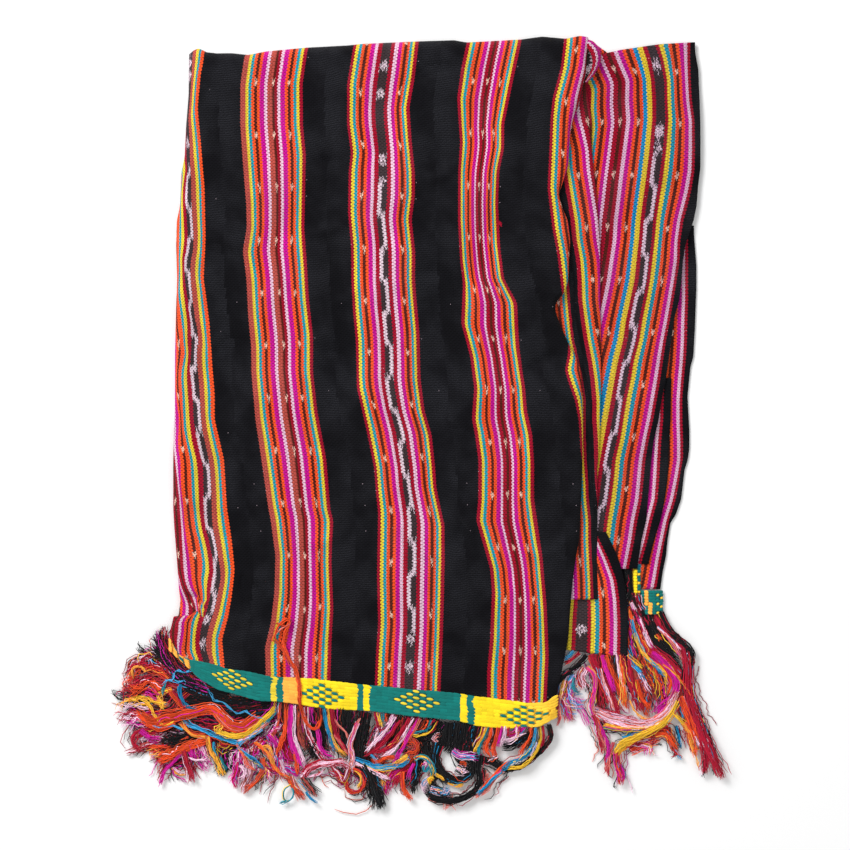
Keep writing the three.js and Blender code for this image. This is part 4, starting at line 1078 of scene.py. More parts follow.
# Painted shade: the layers that lie lower, under the top layer, are made darker and more magenta.
for name, share in [("back_panel", 0.7), ("inner_layer", 0.35), ("selvedge_strip", 0.35)]:
    paint_lower_shade(cloth[name], share)


# ---------- the hidden layers ----------
HIDDEN_FOOT = edge_curve([(206, -392), (224, -322), (298, -320), (306, -226), (406, -226)])


def hidden_foot(x):
    return np.where(x < 206, np.maximum(band_foot_of(x) + 8.0, -392.0), HIDDEN_FOOT(x))


def hidden_right(y):
    return np.where(y > SELVEDGE_HEAD + 4, LINE["back_right"](y) - 0.6, strip_inside(y) - 3.0)


# Each folded layer: its low and high side at the rim, mm, how far it stops short, and whether it lies under
# the whole cloth or only under the top layer.
FOLDED_LAYERS = [
    (0.0, 1.7, 0.4, "whole"), (1.9, 3.4, 1.2, "whole"), (3.6, 4.9, 0.3, "front"), (5.1, 6.6, 1.0, "front"),
]


def folded_layer(low, high, short, reach, crowned):
    """Upper and lower points of one folded layer with rounded rims, and how they join."""
    wave = lambda place: short + 0.5 * np.sin(place / 37.0 + 5 * low) + 0.3 * np.sin(place / 13.0 + 3 * low)
    if reach == "whole":
        right = hidden_right
        head = lambda x: np.minimum(head_of(x), np.where(x > 262, back_head_of(x), np.inf))
        columns = shares(700, 30, 2.5, 2.5, 4)
    else:
        right, head = lambda y: LINE["right"](y) - INNER_HIDDEN - 5.0, head_of
        columns = shares(530, 26, 2.5, 2.5, 4)
    left_side, right_side = (lambda y: LINE["left"](y) + wave(y)), (lambda y: right(y) - wave(y))
    head_side, foot_side = (lambda x: head(x) - 0.4 - wave(x)), hidden_foot
    x, y = plan_grid(columns, shares(870, 34, 2.5, 2.5, 4), left_side, right_side, head_side, foot_side)
    rim = np.minimum.reduce([x - left_side(y), right_side(y) - x, head_side(x) - y, y - foot_side(x)])
    swell = quarter(rim, 1.6)
    middle = (low + high) / 2
    top = np.full_like(x, high)
    if crowned:
        top = np.maximum(high - 0.4, front_height(x, y) - WALL - 0.5)
    upper, lower = middle + (top - middle) * swell, middle + (low - middle) * swell
    return x, y, upper, lower


def hidden_layers():
    """The layers that the top one covers: folded slabs that show only at their rims."""
    vertices, faces, places = [], [], []
    for number, (low, high, short, reach) in enumerate(FOLDED_LAYERS):
        x, y, upper, lower = folded_layer(low, high, short, reach, number == len(FOLDED_LAYERS) - 1)
        quads = quads_of(x.shape)
        across, along = warp_place(x, y, upper, knots_of("front") + [(LINE["right"], BORDER_EDGES[9])])
        for z, order in ((upper, quads), (lower, quads[:, ::-1])):
            faces.append(order + sum(map(len, vertices)))
            vertices.append(np.stack([x, y, z], axis=-1).reshape(-1, 3))
            places.append(np.stack([across, along], axis=-1).reshape(-1, 2))
    vertices, faces, places = np.concatenate(vertices), np.concatenate(faces), np.concatenate(places)
    piece = new_piece("hidden_layers_cloth", vertices, faces.tolist(), CLOTHS)
    colour_by_band(piece, faces, places[:, 0], places[:, 1])
    weld(piece, 0.01)
    return piece


finish_piece(hidden_layers(), ["hidden_layers"])


# ---------- Geometry Nodes ----------
def new_node_tree(name, inputs):
    """A Geometry Nodes tree with named inputs, and short ways to add and join its nodes."""
    tree = bpy.data.node_groups.new(name, "GeometryNodeTree")
    tree.interface.new_socket("Geometry", in_out="INPUT", socket_type="NodeSocketGeometry")
    for label, kind in inputs:
        tree.interface.new_socket(label, in_out="INPUT", socket_type=kind)
    tree.interface.new_socket("Geometry", in_out="OUTPUT", socket_type="NodeSocketGeometry")
    shades = Shades(tree)
    given, result = shades.node("NodeGroupInput"), shades.node("NodeGroupOutput")
    return tree, shades, given.outputs, result.inputs["Geometry"]


def finish_tree(shades, made, yarn, result):
    """Ends a tree: real instances, smooth faces and the yarn's material."""
    made = shades.node("GeometryNodeRealizeInstances", {"Geometry": made}).outputs["Geometry"]
    made = shades.node("GeometryNodeSetShadeSmooth", {"Geometry": made}).outputs["Geometry"]
    made = shades.node("GeometryNodeSetMaterial", {"Geometry": made, "Material": yarn}).outputs["Geometry"]
    shades.put(result, made)


def named(shades, name, kind):
    """A named attribute as a node's output."""
    made = shades.node("GeometryNodeInputNamedAttribute", data_type=kind)
    made.inputs["Name"].default_value = name
    return made.outputs["Attribute"]


def yarn_tree():
    """Each run of edges becomes a yarn, as thick as the attribute yarn_radius says."""
    tree, shades, given, result = new_node_tree(
        "Yarns along their paths", [("Sides", "NodeSocketInt"), ("Thickness", "NodeSocketFloat"),
                                    ("Yarn", "NodeSocketMaterial")])
    curve = shades.node("GeometryNodeMeshToCurve", {"Mesh": given["Geometry"]}).outputs["Curve"]
    radius = shades.times(named(shades, "yarn_radius", "FLOAT"), given["Thickness"])
    profile = shades.node("GeometryNodeCurvePrimitiveCircle", {"Resolution": given["Sides"], "Radius": 1.0})
    made = shades.node("GeometryNodeCurveToMesh", {
        "Curve": curve, "Profile Curve": profile.outputs["Curve"], "Scale": radius, "Fill Caps": True})
    finish_tree(shades, made.outputs["Mesh"], given["Yarn"], result)
    return tree


def stitch_tree():
    """A short stitch at each point, its size and turn from the attributes stitch_size and turn."""
    tree, shades, given, result = new_node_tree(
        "Twined stitches", [("Sides", "NodeSocketInt"), ("Thickness", "NodeSocketFloat"),
                            ("Yarn", "NodeSocketMaterial")])
    ball = shades.node("GeometryNodeMeshUVSphere", {"Segments": given["Sides"], "Rings": 6, "Radius": 0.5})
    lying = shades.node("GeometryNodeTransform", {
        "Geometry": ball.outputs["Mesh"], "Rotation": (0.0, math.pi / 2, 0.0)})
    thick = shades.vector(1.0, 1.0, given["Thickness"])
    stitch = shades.node("GeometryNodeTransform", {"Geometry": lying.outputs["Geometry"], "Scale": thick})
    placed = shades.node("GeometryNodeInstanceOnPoints", {
        "Points": given["Geometry"], "Instance": stitch.outputs["Geometry"],
        "Rotation": named(shades, "turn", "FLOAT_VECTOR"),
        "Scale": named(shades, "stitch_size", "FLOAT_VECTOR")})
    finish_tree(shades, placed.outputs["Instances"], given["Yarn"], result)
    return tree


def grown(name, source, tree, **inputs):
    """The plain mesh that a tree makes from a source mesh, in an object of this name."""
    modifier = source.modifiers.new("grow", "NODES")
    modifier.node_group = tree
    sockets = {item.name: item.identifier for item in tree.interface.items_tree if item.in_out == "INPUT"}
    for label, value in inputs.items():
        modifier[sockets[label]] = value
    bpy.context.view_layer.update()
    evaluated = source.evaluated_get(bpy.context.evaluated_depsgraph_get())
    mesh = bpy.data.meshes.new_from_object(evaluated)
    mesh.name = name
    spent = source.data
    bpy.data.objects.remove(source)
    bpy.data.meshes.remove(spent)
    piece = bpy.data.objects.new(name, mesh)
    bpy.context.scene.collection.objects.link(piece)
    return piece


def source_mesh(vertices, edges, attributes):
    """Points in mm, joined by edges, with named attributes to grow a piece from."""
    mesh = bpy.data.meshes.new("source")
    mesh.from_pydata((np.asarray(vertices) * MM).tolist(), edges, [])
    for name, kind, field, values in attributes:
        layer = mesh.attributes.new(name, kind, "POINT")
        layer.data.foreach_set(field, np.asarray(values, dtype=np.float32).reshape(-1))
    piece = bpy.data.objects.new("source", mesh)
    bpy.context.scene.collection.objects.link(piece)
    return piece


YARN_TREE, STITCH_TREE = yarn_tree(), stitch_tree()


# ---------- the twined band ----------
STITCH_ROWS = 8
BAND_LIFT = 1.0  # its ground cloth above the top layer's face
DIAMOND_LIFT = 0.25  # the short stitches above the others
UNEVEN_ALONG, UNEVEN_ACROSS, UNEVEN_LEAN = 0.25, 0.1, 0.03  # how unevenly the stitches lie
# The three kinds of stitch: length, how many rows high, rise.
SHORT, PLAIN, LONG = (9.4, 0.86, 1.8), (8.6, 1.2, 1.2), (16.0, 1.35, 0.95)

# Blocks of colour along the band: where each one ends, mm.
BAND_BLOCKS = [
    ("amber", -299), ("green", -292), ("amber", -284), ("green", -174), ("yellow", -164), ("green", -156),
    ("amber", -134), ("lemon", -59), ("green", -51), ("lemon", -40), ("green", 79), ("lemon", 91),
    ("green", 101), ("lemon", 172), ("gold", 215),
]
# Diamonds: the middle column and row, and the colour. Every other stitch of a diamond has that colour.
BAND_DIAMONDS = [(11, 3, "yellow"), (26, 4, "green"), (41, 3, "yellow"), (57, 4, "green")]
# The columns of stitches stand a little wider apart from left to right: column, x.
BAND_COLUMNS = [(0, -310), (11, -227), (26, -105), (41, 22), (57, 167), (61, 207)]
ROUND_END = -276  # the band rounds down to the floor left of this
# The blocks lean at the rounded end: x, and how far their ends lean from head to foot.
BLOCK_LEAN = [(-313, 12), (-285, 8), (-230, 1), (-60, -4), (210, -3)]


def block_colour(x, share):
    """The colour of the solid block at x, `share` of the way down the band."""
    place = x - (share - 0.5) * np.interp(x, *zip(*BLOCK_LEAN))
    return next((name for name, end in BAND_BLOCKS if place <= end), "amber")


def band_stitch(x, share, row, column):
    """The colour and size of one stitch, and how far it leans."""
    for middle, centre, name in BAND_DIAMONDS:
        steps = abs(column - middle) + abs(row - centre)
        if steps <= 3 and (column - middle + row - centre) % 2:
            return name, SHORT, -0.13
        if steps <= 4:
            return block_colour(x, share), PLAIN, -0.08
    return block_colour(x, share), PLAIN if x < ROUND_END else LONG, -0.03


# The locks of each fringe. A lock has the colours of its yarns; how many yarns it has, how far they spread,
# how far they wave and its level in the heap; and its path from root to tip, as x,y.
LOCK_TABLE = """
front_left:
black | 34 8 1.4 2 | -284,-380 -299,-363 -311,-346 -321,-331 -330,-317;
black | 30 7 1.4 3 | -266,-387 -287,-375 -304,-359 -318,-346 -334,-337;
black ruby | 24 6 1.8 2 | -296,-366 -308,-350 -316,-334 -319,-319 -318,-306;
sky | 2 0.6 0.8 4 | -225,-421 -232,-413 -240,-408 -252,-404 -252,-398 -259,-390 -265,-382 -270,-370
  -277,-365 -284,-366 -292,-368 -300,-365 -305,-370 -308,-378 -317,-381;
sky | 1 0.4 0.8 4 | -318,-377 -309,-379 -301,-382 -293,-379 -289,-379 -289,-384;
blue | 3 1.4 0.8 4 | -300,-386 -300,-396 -294,-408 -283,-416 -274,-419;
black | 44 9.5 0.8 1 | -173,-406 -216,-409 -256,-402 -290,-392 -317,-373 -338,-358;
black | 44 9.5 0.8 1 | -186,-410 -230,-413 -270,-405 -308,-392 -335,-378;
black | 36 9.5 0.8 2 | -230,-398 -263,-389 -294,-373 -316,-351 -328,-331 -335,-324;
black rose | 22 5.4 0.8 2 | -256,-392 -292,-378 -313,-354 -323,-332 -325,-313;
black | 9 8.1 1.6 1 | -310,-367 -338,-348 -350,-338 -355,-328;
black | 6 5.4 1.4 1 | -317,-362 -338,-354 -354,-351;
black | 36 9.5 0.8 1 | -155,-414 -196,-424 -236,-421 -270,-413 -297,-405;
ruby pale | 19 6.8 4.3 2 | -304,-367 -324,-354 -340,-346 -351,-354 -360,-367;
ruby orange | 19 6.8 4.7 2 | -310,-378 -335,-364 -354,-362 -364,-378 -367,-394;
amber | 5 2.2 1.6 3 | -343,-367 -348,-360 -359,-360 -364,-370 -360,-378;
ruby brick | 22 6.8 4.1 2 | -297,-392 -324,-381 -348,-383 -367,-394 -377,-401;
orange | 16 4.7 3.4 3 | -324,-392 -338,-382 -354,-390 -367,-392;
ruby | 12 5.4 3.4 3 | -335,-375 -350,-381 -360,-386;
rose ruby | 9 5.4 2.7 3 | -327,-401 -338,-394 -348,-394;
amber gold | 11 4.1 3.4 2 | -317,-412 -338,-405 -354,-402 -370,-408;
pale amber | 8 5.4 4.1 2 | -338,-413 -358,-408 -373,-409 -381,-416;
black | 8 6.8 2.7 1 | -338,-405 -364,-401 -381,-398 -387,-389;
black pale | 6 5.4 2.7 1 | -338,-421 -364,-418 -381,-410;
ruby pale | 19 6.8 3.8 1 | -317,-429 -344,-425 -367,-427 -383,-431;
pale rose | 15 6.8 4.1 1 | -317,-440 -343,-435 -364,-437 -373,-440;
sky pale | 8 4.1 3.4 0 | -338,-443 -356,-441 -367,-443;
ruby | 18 5.4 2.2 1 | -324,-443 -348,-448 -359,-455 -358,-467 -348,-471;
ruby brick pale | 11 3.4 1.6 1 | -324,-462 -344,-468 -360,-475 -371,-479;
rose | 11 4.1 1.6 2 | -351,-446 -338,-456 -323,-458;
ruby pale | 22 8.1 4.1 0 | -290,-452 -317,-455 -338,-460 -348,-470;
orange amber | 15 6.8 3.4 1 | -297,-473 -317,-473 -335,-475 -340,-479;
rose ruby | 18 6.8 3.8 0 | -284,-486 -308,-489 -324,-486 -331,-494;
orange | 34 5.7 1.1 3 | -189,-427 -209,-441 -227,-441 -240,-429 -254,-418 -270,-420 -289,-425 -316,-431
  -335,-435 -351,-428 -358,-421;
orange | 18 4.7 1.1 3 | -304,-435 -324,-443 -338,-437 -347,-428 -356,-421;
salmon brick | 11 3.4 1.1 3 | -251,-421 -240,-435 -227,-444 -209,-444 -192,-435;
gold amber | 8 2.7 1.4 3 | -304,-435 -320,-440 -331,-427 -340,-412 -354,-405;
sky | 6 1.9 0.9 3 | -293,-446 -308,-440 -321,-443 -335,-441;
gold | 22 3.5 0.7 3 | -167,-406 -174,-421 -186,-432 -202,-447 -219,-454 -235,-452 -251,-444;
cyan | 12 2.2 0.5 3 | -163,-408 -170,-423 -181,-435 -196,-446;
salmon pale | 11 2.4 0.7 3 | -178,-435 -194,-448 -208,-458 -221,-463;
sky | 11 2.2 0.7 3 | -186,-443 -202,-454 -216,-463 -220,-470;
sky blue | 11 2.2 0.7 3 | -219,-464 -240,-458 -263,-448 -284,-440 -294,-432;
blue sky | 9 1.9 0.7 3 | -220,-468 -208,-478 -194,-487 -184,-498;
orange salmon | 9 2.2 0.7 3 | -221,-464 -212,-478 -205,-493 -194,-500;
amber orange | 16 3.5 1.1 3 | -262,-455 -281,-452 -290,-444 -297,-436;
orange | 36 6.1 1.6 2 | -256,-456 -274,-463 -292,-471 -310,-479 -327,-487;
orange ruby | 15 5.4 1.6 1 | -284,-456 -304,-466 -324,-470 -340,-470;
black | 44 10.8 1.4 1 | -250,-446 -277,-456 -300,-462 -324,-459;
black ruby | 36 10.8 1.6 1 | -209,-435 -236,-443 -263,-440 -290,-435;
gold amber | 6 4.1 3.4 3 | -240,-439 -246,-446 -251,-451;
brick ruby black | 22 6.8 1.1 2 | -289,-392 -302,-405 -310,-416 -324,-421;
ruby | 6 1.9 0.8 3 | -308,-392 -301,-402 -294,-413 -286,-421;
orange | 6 1.9 0.8 3 | -313,-389 -308,-400 -297,-412 -289,-420;
blue | 7 2 0.7 3 | -297,-383 -297,-397 -292,-408 -284,-416 -273,-416;
cyan | 4 1.4 1.1 3 | -317,-382 -320,-392 -321,-400;
amber gold | 11 4.7 3.4 2 | -308,-389 -324,-394 -327,-405 -319,-421;
sky | 2 0.7 0.5 4 | -284,-366 -293,-367 -301,-364 -305,-371 -306,-377 -316,-379 -319,-383;
sky | 2 0.7 0.5 4 | -292,-379 -300,-381 -305,-377;
sky | 3 0.7 0.5 4 | -292,-367 -279,-364 -271,-373 -265,-386 -256,-396 -252,-405 -240,-408 -230,-416
  -219,-423 -208,-420 -200,-427 -186,-429 -173,-435;
ruby pale | 26 6.8 2.2 1 | -289,-466 -288,-483 -284,-500 -279,-517;
ruby | 12 2.7 0.7 3 | -292,-473 -288,-489 -282,-505 -278,-517;
rose pale | 29 8.1 3.8 1 | -270,-459 -270,-475 -266,-489 -262,-500;
rose | 22 5.4 1.9 2 | -284,-466 -281,-477 -274,-486;
pale | 6 1.9 2.7 3 | -286,-483 -273,-487 -259,-487;
rose | 9 2 0.7 2 | -294,-475 -308,-491 -319,-502 -323,-514 -327,-525;
pale black | 8 4.1 3 1 | -290,-481 -306,-490 -313,-497;
rose | 3 0.8 1.4 1 | -308,-497 -306,-508 -294,-514 -285,-518;
amber pale | 6 2.7 2 1 | -308,-497 -300,-504 -289,-506;
amber gold | 11 3 1.1 3 | -259,-454 -258,-467 -255,-479 -248,-490;
gold amber | 12 4.1 1.6 2 | -252,-475 -247,-489 -243,-500 -238,-509;
blue cyan | 6 1.9 0.8 3 | -252,-462 -251,-473 -248,-481;
cyan | 6 1.9 0.8 2 | -242,-483 -238,-493 -232,-500;
black | 29 9.5 2.7 0 | -230,-466 -240,-479 -240,-493 -248,-506;
ruby gold | 11 5.4 4.1 1 | -232,-464 -240,-470 -247,-464;
black pale | 15 6.8 3.4 1 | -216,-473 -230,-475 -232,-489 -227,-500;
rose pale | 32 8.1 3 1 | -212,-470 -216,-486 -219,-502 -224,-517;
rose ruby | 15 4.3 1.6 2 | -219,-489 -221,-502 -225,-513 -221,-525;
pale | 6 2.7 2.7 3 | -216,-493 -208,-505 -213,-513;
brick pale | 18 5.4 1.4 1 | -205,-486 -202,-502 -208,-518 -213,-531;
orange brick | 18 3.8 1.1 2 | -186,-483 -186,-500 -194,-514 -205,-524 -212,-531;
rose ruby pale | 36 10.8 4.1 0 | -186,-459 -196,-470 -202,-481;
front_middle:
orange | 15 2.7 0.5 3 | -154,-406 -154,-425 -155,-446 -161,-462 -166,-481;
orange brick | 9 2.2 0.5 2 | -161,-408 -163,-425 -166,-443 -176,-459;
brown black | 12 4.1 0.8 1 | -158,-408 -158,-432 -148,-459;
rose | 25 3.2 0.5 3 | -147,-410 -148,-429 -148,-448 -146,-464 -138,-482 -131,-497;
pale | 16 2.4 0.5 3 | -142,-410 -142,-429 -143,-448 -139,-466 -132,-482 -128,-497;
brick | 12 2.7 0.5 2 | -136,-413 -138,-435 -135,-456 -127,-473;
brown brick | 11 3.2 0.7 1 | -131,-416 -131,-440 -127,-462 -116,-479;
orange | 11 2 0.5 4 | -134,-410 -130,-427 -123,-440 -115,-444 -109,-437 -108,-425;
pale ruby | 16 3.2 0.5 2 | -126,-413 -126,-435 -122,-455 -112,-473 -101,-489;
rose | 12 2.7 0.5 2 | -120,-413 -119,-427 -113,-440;
rose | 13 2.2 0.5 3 | -113,-440 -109,-455 -108,-468 -100,-478 -88,-482;
orange | 6 1.6 0.5 3 | -108,-413 -109,-435;
brown | 6 1.9 0.5 2 | -111,-413 -108,-432 -105,-446;
blue | 13 2.3 0.4 3 | -103,-412 -101,-429 -97,-448 -90,-467 -86,-474;
amber gold | 9 1.8 0.4 3 | -97,-414 -96,-435 -92,-454 -84,-471 -72,-481;
ruby | 13 2.4 0.5 2 | -92,-416 -90,-437 -84,-456 -73,-473 -65,-482;
salmon | 8 2 0.5 2 | -90,-452 -78,-467 -68,-481;
black | 65 12.2 1.1 1 | -115,-421 -111,-452 -113,-473 -119,-486;
black | 51 10.8 1.1 1 | -74,-418 -74,-443 -77,-466 -74,-483;
black | 51 10.8 1.1 1 | -47,-420 -51,-446 -54,-470 -51,-493;
salmon pale | 25 3.5 0.5 3 | -57,-435 -62,-448 -68,-466 -65,-483 -68,-502;
salmon | 9 1.6 0.5 3 | -54,-429 -58,-437 -63,-448;
salmon | 5 1.4 0.7 3 | -88,-429 -84,-437 -74,-448 -69,-459;
ruby pale | 29 3.8 0.7 3 | -131,-508 -123,-497 -108,-491 -92,-490 -76,-490 -68,-497;
pale ruby | 18 2.7 0.7 3 | -68,-497 -72,-509 -78,-517 -84,-506 -94,-497;
ruby | 12 2.2 0.7 3 | -94,-491 -88,-502 -74,-516 -68,-522;
ruby orange | 19 2.7 0.5 3 | -65,-497 -53,-502 -47,-514 -51,-526 -62,-531 -72,-525 -74,-513;
gold amber | 8 1.5 0.5 3 | -62,-500 -54,-506 -53,-517 -58,-525;
gold | 6 1.9 1.1 2 | -76,-516 -70,-526 -68,-531;
blue sky | 11 2 0.7 3 | -61,-485 -46,-490 -30,-495 -11,-495 3,-493 14,-483;
sky blue | 9 2 0.7 3 | -40,-479 -32,-489 -27,-497;
gold sky | 8 2.7 0.8 3 | -51,-489 -38,-497 -22,-498 -5,-495;
black | 80 7.4 1.1 2 | -49,-491 -40,-508 -34,-524 -28,-540 -27,-552;
black | 15 6.8 1.1 1 | -54,-483 -27,-506 -14,-516;
pale | 12 3 0.8 3 | -61,-490 -40,-500 -24,-508 -14,-513;
ruby | 11 2.2 0.5 2 | -34,-421 -31,-435 -26,-443;
gold | 9 1.9 0.5 2 | -30,-421 -28,-432 -24,-441;
cyan | 8 1.9 0.5 2 | -24,-421 -24,-435;
orange | 9 1.9 0.5 2 | -19,-423 -19,-435;
brown | 6 1.6 0.5 2 | -15,-423 -16,-436;
rose pale | 12 2.4 0.5 2 | -9,-424 -14,-435 -19,-441;
pale | 11 1.8 0.4 4 | -5,-427 -16,-443 -27,-456 -38,-467 -46,-477;
ruby | 16 2.7 0.5 3 | 0,-429 -11,-448 -24,-463 -38,-475 -49,-479;
ruby pale | 44 9.5 2 1 | -20,-443 -27,-459 -32,-473 -40,-482;
brown black | 29 8.1 1.1 1 | 0,-427 -5,-452 -16,-470;
ruby | 22 3.1 0.5 3 | 12,-428 3,-448 -8,-464 -24,-475 -36,-477;
pale | 18 2.6 0.5 3 | 18,-428 9,-446 0,-462 -12,-475 -26,-482;
rose | 16 2.3 0.5 3 | 23,-428 15,-447 7,-463 -1,-478 -9,-490;
orange salmon | 12 2.3 0.5 3 | 28,-429 19,-447 8,-464;
orange | 15 2.7 0.7 3 | -7,-482 -19,-483 -30,-489 -38,-483;
brown | 11 2.2 0.5 2 | 34,-431 20,-450 7,-462;
orange | 12 2.4 0.5 2 | 38,-431 30,-446 16,-452;
amber gold | 11 3.2 1.1 3 | 11,-482 0,-487 -11,-494;
rose black | 8 2.7 0.8 3 | 0,-473 -4,-486 -8,-497;
cyan | 11 1.8 0.5 3 | 43,-431 38,-444 27,-448 15,-451;
gold | 11 1.8 0.5 3 | 49,-432 40,-447 28,-452 15,-452;
ruby | 8 1.6 0.5 2 | 51,-432 46,-446 35,-452;
brick orange | 26 6.8 3.4 2 | 0,-462 14,-460 23,-467 18,-478 5,-482;
ruby | 29 6.8 1.4 1 | 24,-475 16,-493 3,-506 -8,-520;
ruby rose | 19 6.8 2.4 1 | 0,-500 -11,-510 -19,-524 -16,-533;
amber pale | 15 6.8 3.4 1 | -11,-497 -20,-509 -14,-518;
orange | 21 3.8 0.7 3 | 4,-502 4,-516 7,-529 16,-541;
black | 25 5.4 1.1 2 | 27,-475 23,-497 20,-513 16,-531;
rose | 8 2.7 0.8 3 | 19,-491 14,-502 11,-513;
rose pale ruby | 44 10.8 3.4 1 | -169,-459 -166,-479 -158,-497 -148,-508;
ruby | 51 10.8 2 0 | -148,-459 -155,-475 -148,-493;
rose | 19 4.1 0.8 2 | -163,-483 -161,-497 -155,-508;
rose | 22 5.4 1.1 2 | -155,-497 -143,-502 -135,-508;
pale | 8 2.4 0.7 3 | -161,-486 -158,-500 -153,-509;
pale | 8 2 0.7 3 | -134,-509 -124,-502 -113,-500;
pale ruby | 11 2.2 0.7 2 | -131,-510 -119,-508 -108,-504 -103,-497;
orange amber | 16 2.7 0.8 3 | -197,-462 -186,-470 -176,-482 -171,-494 -161,-505 -148,-510;
amber | 6 1.5 0.7 3 | -192,-470 -178,-467 -171,-482;
orange | 13 2.4 0.7 3 | -143,-473 -140,-489 -138,-506;
ruby pale rose | 29 8.1 4.1 1 | -186,-493 -178,-502 -169,-510;
rose pale | 12 5.4 2.7 2 | -176,-452 -169,-443 -162,-437;
rose | 18 5.4 1.4 2 | -178,-452 -170,-462 -167,-470;
orange brick | 22 5.4 1.1 2 | -148,-508 -143,-520 -135,-531 -128,-540;
black brick | 22 5.4 1.1 2 | -132,-509 -124,-520 -117,-529 -112,-536;
blue | 9 2 0.5 3 | -127,-529 -122,-537 -112,-545;
cyan gold | 5 1.1 0.4 2 | -147,-520 -155,-525 -158,-533 -157,-541 -150,-541;
cyan | 6 1.2 0.4 2 | -146,-524 -144,-532 -148,-540 -157,-544 -163,-545;
front_right:
black | 65 10.8 0.7 1 | 68,-435 66,-452 63,-466 58,-473;
black | 87 14.9 0.7 1 | 89,-436 86,-456 88,-475 100,-486;
black | 51 9.5 0.7 2 | 54,-432 38,-448 19,-456;
black | 29 6.8 0.8 2 | 105,-437 97,-459 94,-478 108,-489;
ruby gold | 9 2.4 0.5 2 | 112,-439 108,-454 100,-464 94,-473;
gold amber | 12 2 0.5 3 | 117,-440 112,-454 105,-464 100,-475;
cyan | 9 1.8 0.5 3 | 120,-440 115,-454 108,-467 108,-481;
orange | 15 2.3 0.5 3 | 124,-440 122,-455 116,-470 122,-482;
brown | 9 1.8 0.5 3 | 128,-440 126,-456 120,-470;
orange | 19 2.7 0.5 3 | 132,-440 130,-456 126,-470 130,-483;
rose | 16 2.3 0.5 3 | 138,-440 135,-455 132,-468;
pale | 13 2 0.5 3 | 142,-440 140,-455 136,-468;
ruby | 12 2.4 0.5 2 | 146,-441 144,-455;
pale | 15 2.7 0.7 3 | 158,-441 157,-454 147,-460 140,-460;
ruby rose | 16 4.1 0.8 2 | 163,-441 157,-451 146,-456;
rose | 9 2.4 0.5 3 | 169,-440 162,-448;
pale | 9 2.4 0.8 3 | 171,-451 162,-455 151,-459;
black | 36 4.7 0.7 2 | 176,-450 162,-459 146,-466 138,-466;
orange | 13 2.6 0.5 3 | 178,-439 176,-455 167,-470 163,-483;
brown | 8 1.8 0.5 3 | 180,-439 177,-459 169,-473;
blue | 16 2.2 0.4 4 | 184,-439 182,-456 176,-473 166,-483 151,-490 138,-501;
gold | 15 2 0.4 4 | 189,-439 190,-456 186,-470 177,-486 165,-495 146,-498;
pale sky | 8 1.6 0.4 4 | 185,-462 180,-473 176,-482;
ruby | 11 1.8 0.4 3 | 193,-439 194,-456 190,-471;
black | 36 3.2 0.4 2 | 201,-437 204,-454 197,-467 182,-482 165,-494 140,-502;
orange | 13 2.3 0.5 3 | 165,-482 150,-489 138,-495 124,-510 113,-524 103,-536;
blue | 11 1.6 0.4 4 | 138,-502 124,-513 113,-525 104,-533;
salmon | 13 2.6 0.7 3 | 139,-500 124,-516 115,-528 103,-535;
black | 44 3.8 0.5 3 | 108,-479 105,-497 107,-513 100,-528 86,-537 68,-541 46,-537 35,-526;
black | 44 4.3 0.7 2 | 50,-462 47,-478 51,-494 62,-508 76,-514 92,-508 100,-494 113,-486;
black | 29 5.4 0.7 2 | 55,-466 49,-486 54,-505 68,-520;
black | 44 5.4 0.8 2 | 78,-489 94,-483 113,-486 132,-494 143,-500;
black | 29 4.1 0.7 2 | 54,-502 43,-516 49,-526 68,-535;
gold amber | 12 3 0.8 2 | 65,-516 76,-520 86,-518;
gold | 12 3.4 1.6 3 | 45,-509 38,-513 42,-518;
gold ruby | 11 2.4 0.8 3 | 47,-505 54,-509 61,-514;
cyan gold | 16 2.6 0.7 4 | 19,-485 28,-481 38,-485 43,-494 45,-508;
cyan | 8 1.5 0.7 4 | 32,-494 32,-500 36,-501 39,-494;
pale rose | 15 4.7 2.7 3 | 32,-489 38,-491 32,-500;
rose sky pale | 25 4.1 0.8 3 | 70,-474 81,-481 94,-481 108,-483;
pale sky | 16 5.4 2 3 | 40,-526 50,-529 59,-532 65,-524;
pale black | 19 6.8 2 3 | 76,-497 85,-502 92,-500;
pale | 15 4.1 1.4 2 | 40,-510 32,-521 38,-532;
salmon | 19 5.4 2.7 2 | 38,-536 51,-540 65,-540 59,-551;
salmon pale | 8 4.1 2.2 2 | 51,-462 46,-456 55,-452;
salmon | 15 4.7 0.8 2 | 113,-500 113,-510 122,-508;
black | 6 2 0.5 3 | 113,-497 112,-510 108,-524;
orange | 6 2 0.7 3 | 81,-489 89,-491 86,-494;
black pale | 9 4.1 2 3 | 132,-482 126,-486 119,-490;
black | 44 6.8 0.7 1 | 34,-462 38,-481 49,-497;
flap:
blue sky | 8 2 0.7 3 | 235,-339 227,-348 220,-352;
orange ruby | 8 2.7 0.8 2 | 243,-342 230,-352 220,-358;
black | 36 3.2 0.5 3 | 252,-344 242,-356 230,-366 217,-377 209,-392;
rose salmon | 22 2.7 0.5 3 | 252,-360 262,-369 265,-383 262,-400 259,-416 265,-429;
pale ruby | 19 6.1 2.2 2 | 251,-362 244,-375 248,-392;
cyan | 6 1.9 1.6 3 | 235,-375 234,-389 243,-397;
pale rose sky | 36 10.8 3.4 1 | 236,-371 227,-389 232,-405 248,-413;
orange gold pale | 12 4.7 1.4 2 | 224,-378 220,-394 216,-408;
salmon ruby | 13 3.2 1.1 2 | 215,-398 213,-416 216,-429 212,-440;
salmon ruby rose | 19 8.1 1.4 1 | 224,-405 227,-418 232,-435;
pale rose | 12 4.1 1.1 1 | 243,-413 251,-427 256,-441;
ruby | 44 6.1 0.5 2 | 259,-343 267,-364 278,-386 289,-410 297,-429;
